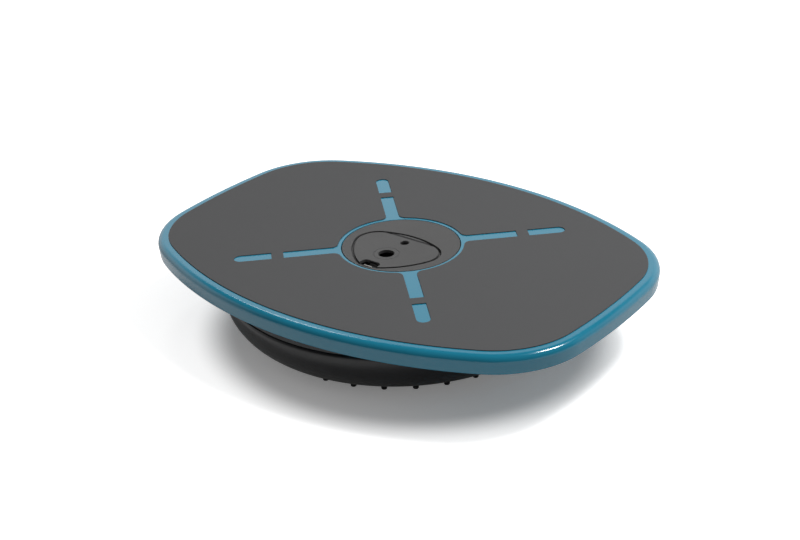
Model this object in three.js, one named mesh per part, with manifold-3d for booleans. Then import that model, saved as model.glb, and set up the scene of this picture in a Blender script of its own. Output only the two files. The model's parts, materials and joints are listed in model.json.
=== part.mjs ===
// Standing balance board on an inflatable rubber cushion.
// A deck with a ribbed frame and a foot mat rests on a round air cushion with grip nubs. A hatch in
// the middle of the deck opens onto the cushion's inlet valve and its bleed valve.
// Millimetres, Z up, X along the board's long axis. The origin is on the floor, under
// the middle of the board.

import * as THREE from 'three';
import { mergeVertices, toCreasedNormals } from 'three/addons/utils/BufferGeometryUtils.js';
import Module from 'manifold-3d';

const wasm = await Module();
wasm.setup();

// Clearances that serve the whole object
const seatGap = 0.3;
const overrun = 2;

// Board outline, measured at the foot mat's edge
const matHalfLength = 248.2;
const matHalfWidth = 181.2;
const endFlatShare = 0.24283;
const endFlatHalf = matHalfWidth * endFlatShare;
const matCornerShare = 0.59051;
const matCornerRadius = matHalfWidth * matCornerShare;

// Heights that add up from the floor to the top of the mat
const soleLift = 3.55;
const bowlDepth = 47.65;
const shoulderHeight = 4.1;
const collarHeight = 10.1;
const deckDepth = 18.9;
const matThickness = 0.6;

const soleZ = soleLift;
const bulgeZ = soleZ + bowlDepth;
const creaseZ = bulgeZ + shoulderHeight;
const deckBottomZ = creaseZ + collarHeight;
const deckTopZ = deckBottomZ + deckDepth;
const matBottomZ = deckTopZ + seatGap;
const matTopZ = matBottomZ + matThickness;

// Deck shell
const rimFlat = 5.3;
const edgeFillet = 6.5;
const skirtDraft = 1.1;
const skirtLip = 1.2;
const skirtWall = 3.2;
const topPlate = 3.8;
const ribThickness = 2.4;
const ribCount = 16;
const hubTubeGap = 2.1;
const hubTubeWall = 3.9;

// Collar of the carrier pan, from which the round pieces below the deck take their size
const collarRadius = 184;
const collarWall = 3;
const panWeb = 3;

// Cushion
const bowlOverhang = 2;
const bowlRadius = collarRadius + bowlOverhang;
const bowlWidth = 51.7;
const soleRadius = bowlRadius - bowlWidth;
const bowlWall = 3;
const bowlMouthInset = 36;
const bowlMouthRadius = bowlRadius - bowlMouthInset;
const nubRingOutset = 13.2;
const nubRingRadius = soleRadius + nubRingOutset;
const nubRingCount = 30;
const nubRadius = 3;
const nubChamfer = 0.6;
const nubRootShare = 0.9;

// Top sheet of the cushion and the ring that clamps both to the carrier
const sheetThickness = 2.5;
const sheetInset = 3;
const sheetRadius = collarRadius - collarWall - sheetInset;
const studInset = 12;
const studRingRadius = sheetRadius - studInset;
const clampHalfWidth = 10;
const clampInnerRadius = studRingRadius - clampHalfWidth;
const clampOuterRadius = studRingRadius + clampHalfWidth;
const clampThickness = 2.5;
const studCount = 8;
const studRadius = 2.5;
const studClearance = 0.3;
const nutHeight = 3.2;
const nutAcrossFlats = 8;

// Screws that hold the deck on the carrier, under the mat
const screwRingStep = 16;
const deckScrewRing = studRingRadius - screwRingStep;
const deckScrewCount = 8;
const deckScrewRadius = 2;
const deckScrewHeadRadius = 4.2;
const deckScrewHeadHeight = 2.4;
const screwClearance = 0.3;
const bossRadius = 5.5;

// Ribbed frame inside the deck, above the carrier
const innerRingStep = 34;
const innerRingRadius = deckScrewRing - innerRingStep;

// Hub housing in the middle of the deck
const hubRadius = 60;
const hubDrop = 0.85;
const hubSeam = 0.9;
const hubPlate = 4.5;
const hubChamfer = 0.4;
const hubWeb = 3;
const lidThickness = 3;
const seamGap = 1.7;
const bayInset = 3.5;
const bayWall = 2.2;
const bayDepth = 10.7;
const bayFloor = 2.2;
const hubScrewRadius = 1.5;
const hubScrewHeadRadius = 2.8;
const hubScrewHeadHeight = 1.8;
const hubScrewBite = 3;
const hubScrewRearAcrossShare = 0.5178;
const hubScrewRearAlongShare = 0.6796;
const hubScrewFrontAcrossShare = 0.7605;
const hubScrewFrontAlongShare = 0.4854;
const hubScrewRearX = hubRadius * hubScrewRearAcrossShare;
const hubScrewRearY = hubRadius * hubScrewRearAlongShare;
const hubScrewFrontX = hubRadius * hubScrewFrontAcrossShare;
const hubScrewFrontY = hubRadius * hubScrewFrontAlongShare;

// Arms and dashes cut out of the mat, outwards from the hub
const hubRingWidth = 6.2;
const matHoleRadius = hubRadius + hubRingWidth;
const armHalfWidth = 6.8;
const armLength = 55.4;
const armEnd = matHoleRadius + armLength;
const armFillet = 4;
const dashGap = 12.1;
const dashStart = armEnd + dashGap;
const dashLength = 38.6;
const dashEnd = dashStart + dashLength;

// Hatch outline at the middle of its seam: a rounded triangle with bowed sides
const hatchTopShare = 0.3817;
const hatchTopY = hubRadius * hatchTopShare;
const hatchTopRadiusShare = 1.5333;
const hatchTopRadius = hubRadius * hatchTopRadiusShare;
const hatchCornerShare = 0.3783;
const hatchCornerRadius = hubRadius * hatchCornerShare;
const hatchHalfWidthShare = 0.8217;
const hatchHalfWidth = hubRadius * hatchHalfWidthShare;
const hatchSideShare = 1.425;
const hatchSideRadius = hubRadius * hatchSideShare;
const hatchNoseInset = 1.9;
const hatchNoseY = hatchNoseInset - hubRadius;
const hatchNoseShare = 0.48;
const hatchNoseRadius = hubRadius * hatchNoseShare;

// Film hinge behind the lid
const hingeSetback = 6.7;
const hingeY = hatchTopY - hingeSetback;
const filmWidth = 2;
const filmHalfLength = 31;
const filmThickness = 0.5;
const filmRecess = 0.3;
const stakeRadius = 1;
const stakeX = 9;

// Finger notch at the lid's nose, and the striker tab behind it
const notchHalfWidth = 10.9;
const notchDepth = 12.5;
const notchBackY = hatchNoseY + notchDepth;
const notchCorner = 2;
const strikerHalfWidth = 5;
const strikerThickness = 1.5;
const strikerDrop = 3.7;
const strikerSetback = 4.8;
const strikerEndY = hatchNoseY + strikerSetback;

// Catch lever
const catchHalfWidth = 5.5;
const catchThickness = 1.6;
const catchSetback = 4.1;
const catchFaceY = hatchNoseY + catchSetback;
const catchTopDrop = 1;
const catchHookReach = 1.4;
const catchHookHeight = 1.5;
const catchFootRadius = 1.3;
const catchBayHalfWidth = 6.2;
const catchBaySetback = 0.5;
const catchBayEndY = hatchNoseY + catchBaySetback;

// Inlet valve, under the lid's large hole
const valveShare = 0.41;
const valveY = -hubRadius * valveShare;
const pumpHoleRadius = 8.4;
const dishRadius = 13.5;
const dishDepth = 0.35;
const valveBoreRadius = 4.4;
const valveBarrelRadius = 5.7;
const valveCollarRadius = 7.5;
const valveCollarHeight = 3.6;
const valveFlangeRadius = 11.5;
const valveFlange = 1.6;
const sealThickness = 1;
const neckWall = 2.5;
const neckClearance = 0.3;
const valveTail = 3;
const valveNutAcrossFlats = 20;
const valveNutHeight = 3;
const plugHeadRadius = 5.4;
const plugHeadHeight = 3.4;
const plugStemRadius = 4.1;
const plugStemLength = 9;
const plugTabWidth = 2.4;
const plugTabHeight = 1.6;

// Bleed valve, under the lid's small hole
const bleedShare = 0.0983;
const bleedY = hubRadius * bleedShare;
const bleedHoleRadius = 3.5;
const bleedBevel = 1.3;
const bleedBoreRadius = 2.6;
const bleedBarrelRadius = 4;
const bleedFlangeRadius = 7.5;
const bleedBossRadius = 4.6;
const bleedBossHeight = 2.6;
const bleedStemRadius = 2.2;
const bleedCapRadius = 4;
const bleedCapHeight = 2;
const bleedTail = 2.5;
const bleedStemLift = 2.6;
const springRadius = 3.2;
const springWire = 0.6;
const springHeight = 4.2;
const springTurns = 3;

// Facets
const cornerSteps = 6;
const sideSteps = 4;
const filletSteps = 3;
const shoulderSteps = 2;
const bowlSegments = 48;
const wallSteps = 7;
const liningSteps = 3;
const roundSegments = 36;
const smallSegments = 10;
const nubSegments = 8;

// Levels of the hub, from the top down
const hubTopZ = matTopZ - hubDrop;
const hubBottomZ = hubTopZ - hubPlate;
const lidBottomZ = hubTopZ - lidThickness;
const seatZ = lidBottomZ - seatGap;
const webTopZ = hubBottomZ - seatGap;
const webBottomZ = webTopZ - hubWeb;
const bayFloorZ = seatZ - bayDepth;
const bayBottomZ = bayFloorZ - bayFloor;

// Levels of the cushion's top and the carrier
const flangeBottomZ = creaseZ - bowlWall;
const sheetBottomZ = creaseZ + seatGap;
const sheetTopZ = sheetBottomZ + sheetThickness;
const panWebBottomZ = sheetTopZ + seatGap;
const panWebTopZ = panWebBottomZ + panWeb;
const collarTopZ = deckBottomZ - seatGap;
const plateBottomZ = deckTopZ - topPlate;
const frameTopZ = plateBottomZ - seatGap;

const full = 2 * Math.PI;
const quarter = Math.PI / 2;

// A closed mesh becomes a solid that can be joined and cut.
function solidOf(geometry) {
  const bare = geometry.clone();
  bare.deleteAttribute('normal');
  bare.deleteAttribute('uv');
  const merged = mergeVertices(bare);
  const mesh = new wasm.Mesh({
    numProp: 3,
    vertProperties: new Float32Array(merged.attributes.position.array),
    triVerts: new Uint32Array(merged.index.array),
  });
  return new wasm.Manifold(mesh);
}

// The solid's surface becomes a geometry again, with its sharp edges kept.
function geometryOf(solid) {
  const mesh = solid.getMesh();
  const geometry = new THREE.BufferGeometry();
  const position = new THREE.BufferAttribute(new Float32Array(mesh.vertProperties), 3);
  geometry.setAttribute('position', position);
  geometry.setIndex(new THREE.BufferAttribute(new Uint32Array(mesh.triVerts), 1));
  return toCreasedNormals(geometry, Math.PI / 7);
}

function joined(solids) {
  return solids.reduce((whole, next) => whole.add(next));
}

function cut(solid, tools) {
  return tools.reduce((rest, tool) => rest.subtract(tool), solid);
}

// Points along an arc, from the start angle to the end angle.
function arc(x, y, radius, start, end, steps) {
  const points = [];
  for (let i = 0; i <= steps; i += 1) {
    const angle = start + ((end - start) * i) / steps;
    points.push(new THREE.Vector2(x + radius * Math.cos(angle), y + radius * Math.sin(angle)));
  }
  return points;
}

// A straight-walled solid between two heights.
function prism(shape, bottom, top) {
  const geometry = new THREE.ExtrudeGeometry(shape, { depth: top - bottom, bevelEnabled: false });
  geometry.translate(0, 0, bottom);
  return solidOf(geometry);
}

function disc(radius, bottom, top, segments = roundSegments, x = 0, y = 0) {
  const geometry = new THREE.CylinderGeometry(radius, radius, top - bottom, segments);
  geometry.rotateX(quarter);
  geometry.translate(x, y, (top + bottom) / 2);
  return solidOf(geometry);
}

function tube(outer, inner, bottom, top, segments = roundSegments) {
  const core = disc(inner, bottom - overrun, top + overrun, segments);
  return disc(outer, bottom, top, segments).subtract(core);
}

function block(x0, x1, y0, y1, z0, z1) {
  const geometry = new THREE.BoxGeometry(x1 - x0, y1 - y0, z1 - z0);
  geometry.translate((x0 + x1) / 2, (y0 + y1) / 2, (z0 + z1) / 2);
  return solidOf(geometry);
}

// A solid of revolution about Z. Each profile point is a radius and a height.
function revolved(profile, segments = smallSegments) {
  const points = profile.map(([radius, height]) => new THREE.Vector2(radius, height));
  const geometry = new THREE.LatheGeometry(points, segments);
  geometry.rotateX(quarter);
  return solidOf(geometry);
}

// A profile drawn in Y and Z, carried along X on both sides of the middle plane.
function barAlongX(points, halfWidth) {
  const shape = new THREE.Shape(points.map(([y, z]) => new THREE.Vector2(y, z)));
  const geometry = new THREE.ExtrudeGeometry(shape, { depth: 2 * halfWidth, bevelEnabled: false });
  geometry.translate(0, 0, -halfWidth);
  const turn = new THREE.Matrix4().makeBasis(
    new THREE.Vector3(0, 1, 0),
    new THREE.Vector3(0, 0, 1),
    new THREE.Vector3(1, 0, 0),
  );
  geometry.applyMatrix4(turn);
  return solidOf(geometry);
}

// A hexagonal or round ring, such as a nut.
function hexagon(acrossFlats, bottom, top) {
  return disc(acrossFlats / Math.sqrt(3), bottom, top, 6);
}

// Places spaced evenly round the Z axis.
function around(count, radius, start = 0) {
  return Array.from({ length: count }, (_, i) => {
    const angle = start + (full * i) / count;
    return { x: radius * Math.cos(angle), y: radius * Math.sin(angle), angle };
  });
}

// Stacked outlines with the same number of points, closed at the bottom and the top.
function loft(rings) {
  const count = rings[0].outline.length;
  const positions = [];
  const indices = [];
  rings.forEach(({ outline, z }) => outline.forEach((p) => positions.push(p.x, p.y, z)));
  for (let ring = 0; ring + 1 < rings.length; ring += 1) {
    for (let i = 0; i < count; i += 1) {
      const a = ring * count + i;
      const b = ring * count + ((i + 1) % count);
      indices.push(a, b, b + count, a, b + count, a + count);
    }
  }
  const lid = (rings.length - 1) * count;
  THREE.ShapeUtils.triangulateShape(rings[0].outline, []).forEach(([a, b, c]) => {
    indices.push(a, c, b);
    indices.push(lid + a, lid + b, lid + c);
  });
  const geometry = new THREE.BufferGeometry();
  geometry.setAttribute('position', new THREE.Float32BufferAttribute(positions, 3));
  geometry.setIndex(indices);
  return solidOf(geometry);
}

// The board's outline: straight ends, round corners and long bowed sides, all tangent.
// The offset moves it out from the mat's edge.
function boardOutline(offset) {
  const cornerX = matHalfLength - matCornerRadius;
  const rise = matHalfWidth - endFlatHalf;
  const bow = (cornerX ** 2 + rise ** 2 - matCornerRadius ** 2) / (2 * (rise - matCornerRadius));
  const turn = Math.atan2(bow - rise, cornerX);
  const corner = arc(cornerX, endFlatHalf, matCornerRadius + offset, 0, turn, cornerSteps);
  const side = arc(0, matHalfWidth - bow, bow + offset, turn, quarter, sideSteps).slice(1);
  const first = [...corner, ...side];
  const second = first.slice(0, -1).map((p) => new THREE.Vector2(-p.x, p.y)).reverse();
  const upper = [...first, ...second];
  const lower = upper.map((p) => new THREE.Vector2(-p.x, -p.y));
  return [...upper, ...lower];
}

// The hatch outline, with the offset moving it out from the middle of the seam.
function hatchOutline(offset) {
  const topCentreY = hatchTopY - hatchTopRadius;
  const cornerX = hatchHalfWidth - hatchCornerRadius;
  const cornerY = topCentreY + Math.sqrt((hatchTopRadius - hatchCornerRadius) ** 2 - cornerX ** 2);
  const noseCentreY = hatchNoseY + hatchNoseRadius;
  const toCorner = hatchSideRadius - hatchCornerRadius;
  const toNose = hatchSideRadius - hatchNoseRadius;
  const span = Math.hypot(cornerX, cornerY - noseCentreY);
  const along = (toNose ** 2 - toCorner ** 2 + span ** 2) / (2 * span);
  const away = Math.sqrt(toNose ** 2 - along ** 2);
  const ux = cornerX / span;
  const uy = (cornerY - noseCentreY) / span;
  const sideX = ux * along - uy * away;
  const sideY = noseCentreY + uy * along + ux * away;
  const topTurn = Math.atan2(cornerY - topCentreY, cornerX);
  const sideTurn = Math.atan2(cornerY - sideY, cornerX - sideX);
  const noseTurn = Math.atan2(noseCentreY - sideY, -sideX);
  const nose = arc(0, noseCentreY, hatchNoseRadius + offset, -quarter, noseTurn, 4);
  const side = arc(sideX, sideY, hatchSideRadius + offset, noseTurn, sideTurn, 7);
  const corner = arc(cornerX, cornerY, hatchCornerRadius + offset, sideTurn, topTurn, 6);
  const top = arc(0, topCentreY, hatchTopRadius + offset, topTurn, quarter, 5);
  const right = [...nose, ...side.slice(1), ...corner.slice(1), ...top.slice(1)];
  const left = right.slice(1, -1).map((p) => new THREE.Vector2(-p.x, p.y)).reverse();
  return [...right, ...left];
}

// Rubber bowl: a flat sole, an elliptical wall, a rolled shoulder and a flange turned in.
function cushionBowl() {
  const flangeTop = creaseZ;
  const profile = [[0, soleZ]];
  for (let i = 0; i <= wallSteps; i += 1) {
    const angle = (quarter * i) / wallSteps;
    profile.push([soleRadius + bowlWidth * Math.sin(angle), bulgeZ - bowlDepth * Math.cos(angle)]);
  }
  for (let i = 1; i <= shoulderSteps; i += 1) {
    const angle = (quarter * i) / shoulderSteps;
    const inward = bowlOverhang * (1 - Math.cos(angle));
    profile.push([bowlRadius - inward, bulgeZ + shoulderHeight * Math.sin(angle)]);
  }
  profile.push([bowlMouthRadius, flangeTop], [bowlMouthRadius, flangeBottomZ]);
  profile.push([bowlRadius - bowlWall, flangeBottomZ]);
  const innerWidth = bowlWidth - bowlWall;
  const innerDepth = bowlDepth - bowlWall;
  for (let i = liningSteps; i >= 0; i -= 1) {
    const angle = (quarter * i) / liningSteps;
    profile.push([soleRadius + innerWidth * Math.sin(angle), bulgeZ - innerDepth * Math.cos(angle)]);
  }
  profile.push([0, soleZ + bowlWall]);
  const nubTurn = Math.asin(nubRingOutset / bowlWidth);
  const nubTop = bulgeZ - bowlDepth * Math.cos(nubTurn) + bowlWall * nubRootShare;
  const nub = revolved(
    [[0, 0], [nubRadius - nubChamfer, 0], [nubRadius, nubChamfer], [nubRadius, nubTop], [0, nubTop]],
    nubSegments,
  );
  const nubs = around(nubRingCount, nubRingRadius).map(({ x, y }) => nub.translate([x, y, 0]));
  const bowl = joined([revolved(profile, bowlSegments), ...nubs]);
  const holes = around(studCount, studRingRadius).map(({ x, y }) =>
    disc(studRadius + studClearance, flangeBottomZ - overrun, creaseZ + overrun, smallSegments, x, y));
  return cut(bowl, holes);
}

// Top sheet of the cushion, with a neck for each valve.
function cushionSheet() {
  const inletNeck = valveBarrelRadius + neckClearance;
  const bleedNeck = bleedBarrelRadius + neckClearance;
  const neckTop = bayBottomZ - seatGap - sealThickness - seatGap - valveFlange - seatGap;
  const sheet = joined([
    disc(sheetRadius, sheetBottomZ, sheetTopZ, bowlSegments),
    disc(inletNeck + neckWall, sheetBottomZ, neckTop, smallSegments, 0, valveY),
    disc(bleedNeck + neckWall, sheetBottomZ, neckTop, smallSegments, 0, bleedY),
  ]);
  const bottom = sheetBottomZ - overrun;
  const holes = around(studCount, studRingRadius).map(({ x, y }) =>
    disc(studRadius + studClearance, bottom, sheetTopZ + overrun, smallSegments, x, y));
  holes.push(disc(inletNeck, bottom, neckTop + overrun, smallSegments, 0, valveY));
  holes.push(disc(bleedNeck, bottom, neckTop + overrun, smallSegments, 0, bleedY));
  return cut(sheet, holes);
}

// Steel ring inside the cushion with studs that stand up through the carrier.
function clampRing() {
  const top = flangeBottomZ - seatGap;
  const ring = tube(clampOuterRadius, clampInnerRadius, top - clampThickness, top, bowlSegments);
  const tip = panWebTopZ + seatGap + nutHeight;
  const studs = around(studCount, studRingRadius).map(({ x, y }) =>
    disc(studRadius, top - clampThickness / 2, tip, smallSegments, x, y));
  return joined([ring, ...studs]);
}

function clampNut() {
  const bore = disc(studRadius + studClearance, -overrun, nutHeight + overrun, smallSegments);
  return hexagon(nutAcrossFlats, 0, nutHeight).subtract(bore);
}

// Carrier pan: a round wall, a web on the cushion's top sheet and ribs up to the deck.
function carrierPan() {
  const hubTubeOuter = hubRadius + hubTubeGap + hubTubeWall;
  const ribReach = collarRadius - collarWall / 2;
  const ribs = around(ribCount, 0).map(({ angle }) =>
    block(hubTubeOuter - hubTubeWall / 2, ribReach, -ribThickness / 2, ribThickness / 2, panWebTopZ - panWeb / 2, collarTopZ)
      .rotate([0, 0, THREE.MathUtils.radToDeg(angle)]));
  const bosses = deckScrewPlaces().map(({ x, y }) =>
    disc(bossRadius, panWebBottomZ, collarTopZ, smallSegments, x, y));
  const pan = joined([
    tube(collarRadius, collarRadius - collarWall, creaseZ + seatGap, collarTopZ, bowlSegments),
    disc(collarRadius - collarWall / 2, panWebBottomZ, panWebTopZ, bowlSegments),
    tube(hubTubeOuter, hubTubeOuter - hubTubeWall, panWebTopZ - panWeb / 2, collarTopZ),
    ...ribs,
    ...bosses,
  ]);
  const bottom = panWebBottomZ - overrun;
  const top = collarTopZ + overrun;
  const nutRoom = nutAcrossFlats / Math.sqrt(3) + screwClearance;
  const holes = [
    ...around(studCount, studRingRadius).map(({ x, y }) =>
      disc(studRadius + studClearance, bottom, top, smallSegments, x, y)),
    ...around(studCount, studRingRadius).map(({ x, y }) =>
      disc(nutRoom, panWebTopZ, top, smallSegments, x, y)),
    ...deckScrewPlaces().map(({ x, y }) =>
      disc(deckScrewRadius + screwClearance, bottom, top, smallSegments, x, y)),
    disc(valveBarrelRadius + neckClearance + neckWall + seatGap, bottom, top, smallSegments, 0, valveY),
    disc(bleedBarrelRadius + neckClearance + neckWall + seatGap, bottom, top, smallSegments, 0, bleedY),
  ];
  return cut(pan, holes);
}

// Deck shell: a top plate with a rounded edge and a skirt, open in the middle for the hub.
function deckShell() {
  const edge = rimFlat + edgeFillet;
  const outerRings = [
    { outline: boardOutline(edge - skirtDraft - skirtLip), z: deckBottomZ },
    { outline: boardOutline(edge - skirtDraft), z: deckBottomZ + skirtLip },
  ];
  for (let i = 0; i <= filletSteps; i += 1) {
    const angle = (quarter * i) / filletSteps;
    outerRings.push({
      outline: boardOutline(rimFlat + edgeFillet * Math.cos(angle)),
      z: deckTopZ - edgeFillet + edgeFillet * Math.sin(angle),
    });
  }
  const cavity = loft([
    { outline: boardOutline(edge - skirtDraft - skirtWall), z: deckBottomZ - overrun },
    { outline: boardOutline(edge - skirtWall), z: plateBottomZ },
  ]);
  return cut(loft(outerRings), [
    cavity,
    disc(hubRadius + hubSeam, deckBottomZ, deckTopZ + overrun),
    ...deckScrewPlaces().map(({ x, y }) =>
      disc(deckScrewRadius + screwClearance, deckBottomZ, deckTopZ + overrun, smallSegments, x, y)),
    ...deckScrewPlaces().map(({ x, y }) =>
      disc(deckScrewHeadRadius + screwClearance, deckTopZ - deckScrewHeadHeight - seatGap, deckTopZ + overrun, smallSegments, x, y)),
  ]);
}

function deckScrewPlaces() {
  return around(deckScrewCount, deckScrewRing, full / deckScrewCount / 2);
}

// Ribbed frame between the carrier and the deck's top plate, with the web that carries the hub.
function deckFrame() {
  const tubeOuter = hubRadius + hubTubeGap + hubTubeWall;
  const frameRadius = collarRadius - collarWall;
  const ribHalf = ribThickness / 2;
  const ribs = around(ribCount, 0).map(({ angle }) =>
    block(tubeOuter - hubTubeWall / 2, frameRadius - ribHalf, -ribHalf, ribHalf, deckBottomZ, frameTopZ)
      .rotate([0, 0, THREE.MathUtils.radToDeg(angle)]));
  const frame = joined([
    ...ribs,
    tube(innerRingRadius + ribHalf, innerRingRadius - ribHalf, deckBottomZ, frameTopZ),
    tube(frameRadius, frameRadius - ribThickness, deckBottomZ, frameTopZ, bowlSegments),
    ...deckScrewPlaces().map(({ x, y }) => disc(bossRadius, deckBottomZ, frameTopZ, smallSegments, x, y)),
    tube(tubeOuter, tubeOuter - hubTubeWall, deckBottomZ, frameTopZ),
    disc(tubeOuter, webBottomZ, webTopZ),
  ]);
  return cut(frame, [
    prism(new THREE.Shape(bayOutline(bayWall + seatGap)), webBottomZ - overrun, webTopZ + overrun),
    catchHouse(seatGap, webBottomZ - overrun, webTopZ + overrun),
    ...deckScrewPlaces().map(({ x, y }) =>
      disc(deckScrewRadius + screwClearance, deckBottomZ - overrun, frameTopZ + overrun, smallSegments, x, y)),
    ...hubScrewPlaces().map(([x, y]) =>
      disc(hubScrewRadius + screwClearance, webBottomZ - overrun, webTopZ + overrun, smallSegments, x, y)),
  ]);
}

// Four screws round the hatch that hold the hub housing from below.
function hubScrewPlaces() {
  return [
    [hubScrewRearX, hubScrewRearY],
    [-hubScrewRearX, hubScrewRearY],
    [hubScrewFrontX, -hubScrewFrontY],
    [-hubScrewFrontX, -hubScrewFrontY],
  ];
}

// The bay under the lid, grown by the given distance. It ends behind the hinge line.
function bayOutline(grow) {
  const back = hingeY - filmWidth + grow;
  const outline = hatchOutline(grow - bayInset);
  return clipAbove(outline, back);
}

// The walls round the catch lever, ahead of the bay, grown by the given distance.
function catchHouse(grow, bottom, top) {
  const half = catchBayHalfWidth + bayWall + grow;
  return block(-half, half, catchBayEndY - bayWall - grow, catchFaceY + bayWall, bottom, top);
}

// Keeps the part of an outline whose Y is below a straight line.
function clipAbove(outline, limit) {
  const kept = [];
  outline.forEach((point, i) => {
    const next = outline[(i + 1) % outline.length];
    const inside = point.y <= limit;
    if (inside) {
      kept.push(point);
    }
    if (inside !== next.y <= limit) {
      const share = (limit - point.y) / (next.y - point.y);
      kept.push(point.clone().lerp(next, share));
    }
  });
  return kept;
}

// Adhesive-backed mat with the ring and the four arms left open.
function footMat() {
  const shape = new THREE.Shape(boardOutline(0));
  const reach = matHoleRadius + armFillet;
  const spread = Math.asin((armHalfWidth + armFillet) / reach);
  const arms = around(4, 0, quarter / 2);
  const hole = [];
  arms.forEach(({ angle }) => {
    const at = (u, v) => new THREE.Vector2(u, v).rotateAround(new THREE.Vector2(0, 0), angle);
    const low = at(reach * Math.cos(spread), -reach * Math.sin(spread));
    const high = at(reach * Math.cos(spread), reach * Math.sin(spread));
    hole.push(...arc(low.x, low.y, armFillet, angle - spread + Math.PI, angle + quarter, filletSteps));
    hole.push(at(armEnd, -armHalfWidth), at(armEnd, armHalfWidth));
    hole.push(...arc(high.x, high.y, armFillet, angle - quarter, angle + spread - Math.PI, filletSteps));
    hole.push(...arc(0, 0, matHoleRadius, angle + spread, angle + quarter - spread, 2 * filletSteps).slice(1, -1));
  });
  shape.holes.push(new THREE.Path(hole));
  arms.forEach(({ angle }) => {
    const at = (p) => p.rotateAround(new THREE.Vector2(0, 0), angle);
    const nose = arc(dashEnd - armHalfWidth, 0, armHalfWidth, -quarter, quarter, 2 * filletSteps);
    const square = [new THREE.Vector2(dashStart, armHalfWidth), new THREE.Vector2(dashStart, -armHalfWidth)];
    shape.holes.push(new THREE.Path([...nose, ...square].map(at)));
  });
  return prism(shape, matBottomZ, matTopZ);
}

// Hub housing: a disc flush with the deck, the lid's seat and the bay below it.
function hubHousing() {
  const plate = revolved([
    [0, hubBottomZ],
    [hubRadius, hubBottomZ],
    [hubRadius, hubTopZ - hubChamfer],
    [hubRadius - hubChamfer, hubTopZ],
    [0, hubTopZ],
  ], roundSegments);
  const cup = prism(new THREE.Shape(bayOutline(bayWall)), bayBottomZ, hubBottomZ + hubPlate / 4);
  const nose = catchHouse(0, bayBottomZ, hubBottomZ + hubPlate / 4);
  const body = joined([plate, cup, nose]);
  const seat = prism(new THREE.Shape(hatchOutline(seamGap / 2)), seatZ, hubTopZ + overrun);
  const bay = prism(new THREE.Shape(bayOutline(0)), bayFloorZ, seatZ + overrun);
  const catchBay = block(-catchBayHalfWidth, catchBayHalfWidth, catchBayEndY, notchBackY, bayFloorZ, seatZ + overrun);
  const boss = disc(bleedBossRadius, bayFloorZ - bayFloor / 2, bayFloorZ + bleedBossHeight, smallSegments, 0, bleedY);
  const stakes = [stakeX, -stakeX].map((x) =>
    disc(stakeRadius + seatGap, hubBottomZ - overrun, seatZ + overrun, smallSegments, x, stakeY()));
  const screws = hubScrewPlaces().map(([x, y]) =>
    disc(hubScrewRadius + screwClearance, hubBottomZ - overrun, hubBottomZ + hubScrewBite + seatGap, smallSegments, x, y));
  const hollow = cut(body, [seat, bay, catchBay]).add(boss);
  return cut(hollow, [
    disc(valveCollarRadius + seatGap, bayBottomZ - overrun, bayFloorZ + overrun, smallSegments, 0, valveY),
    disc(bleedBoreRadius, bayBottomZ - overrun, bayFloorZ + bayDepth, smallSegments, 0, bleedY),
    ...stakes,
    ...screws,
  ]);
}

// The hinge leaf's pegs sit in the middle of the shelf behind the bay.
function stakeY() {
  return (hingeY + hatchTopY + filmWidth / 2 - seamGap / 2) / 2;
}

// Fixed leaf behind the film hinge, pegged to the housing's shelf.
function hingeLeaf() {
  const whole = prism(new THREE.Shape(hatchOutline(-seamGap / 2)), lidBottomZ, hubTopZ);
  const front = block(
    -2 * hatchHalfWidth,
    2 * hatchHalfWidth,
    2 * hatchNoseY,
    hingeY + filmWidth / 2 + seatGap,
    lidBottomZ - overrun,
    hubTopZ + overrun,
  );
  const pegs = [stakeX, -stakeX].map((x) =>
    disc(stakeRadius, hubBottomZ, lidBottomZ + lidThickness / 2, smallSegments, x, stakeY()));
  return joined([whole.subtract(front), ...pegs]);
}

// Thin strip that joins the lid to its leaf.
function hingeFilm() {
  const top = hubTopZ - filmRecess;
  return block(-filmHalfLength, filmHalfLength, -filmWidth / 2, filmWidth / 2, top - filmThickness, top);
}

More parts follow.
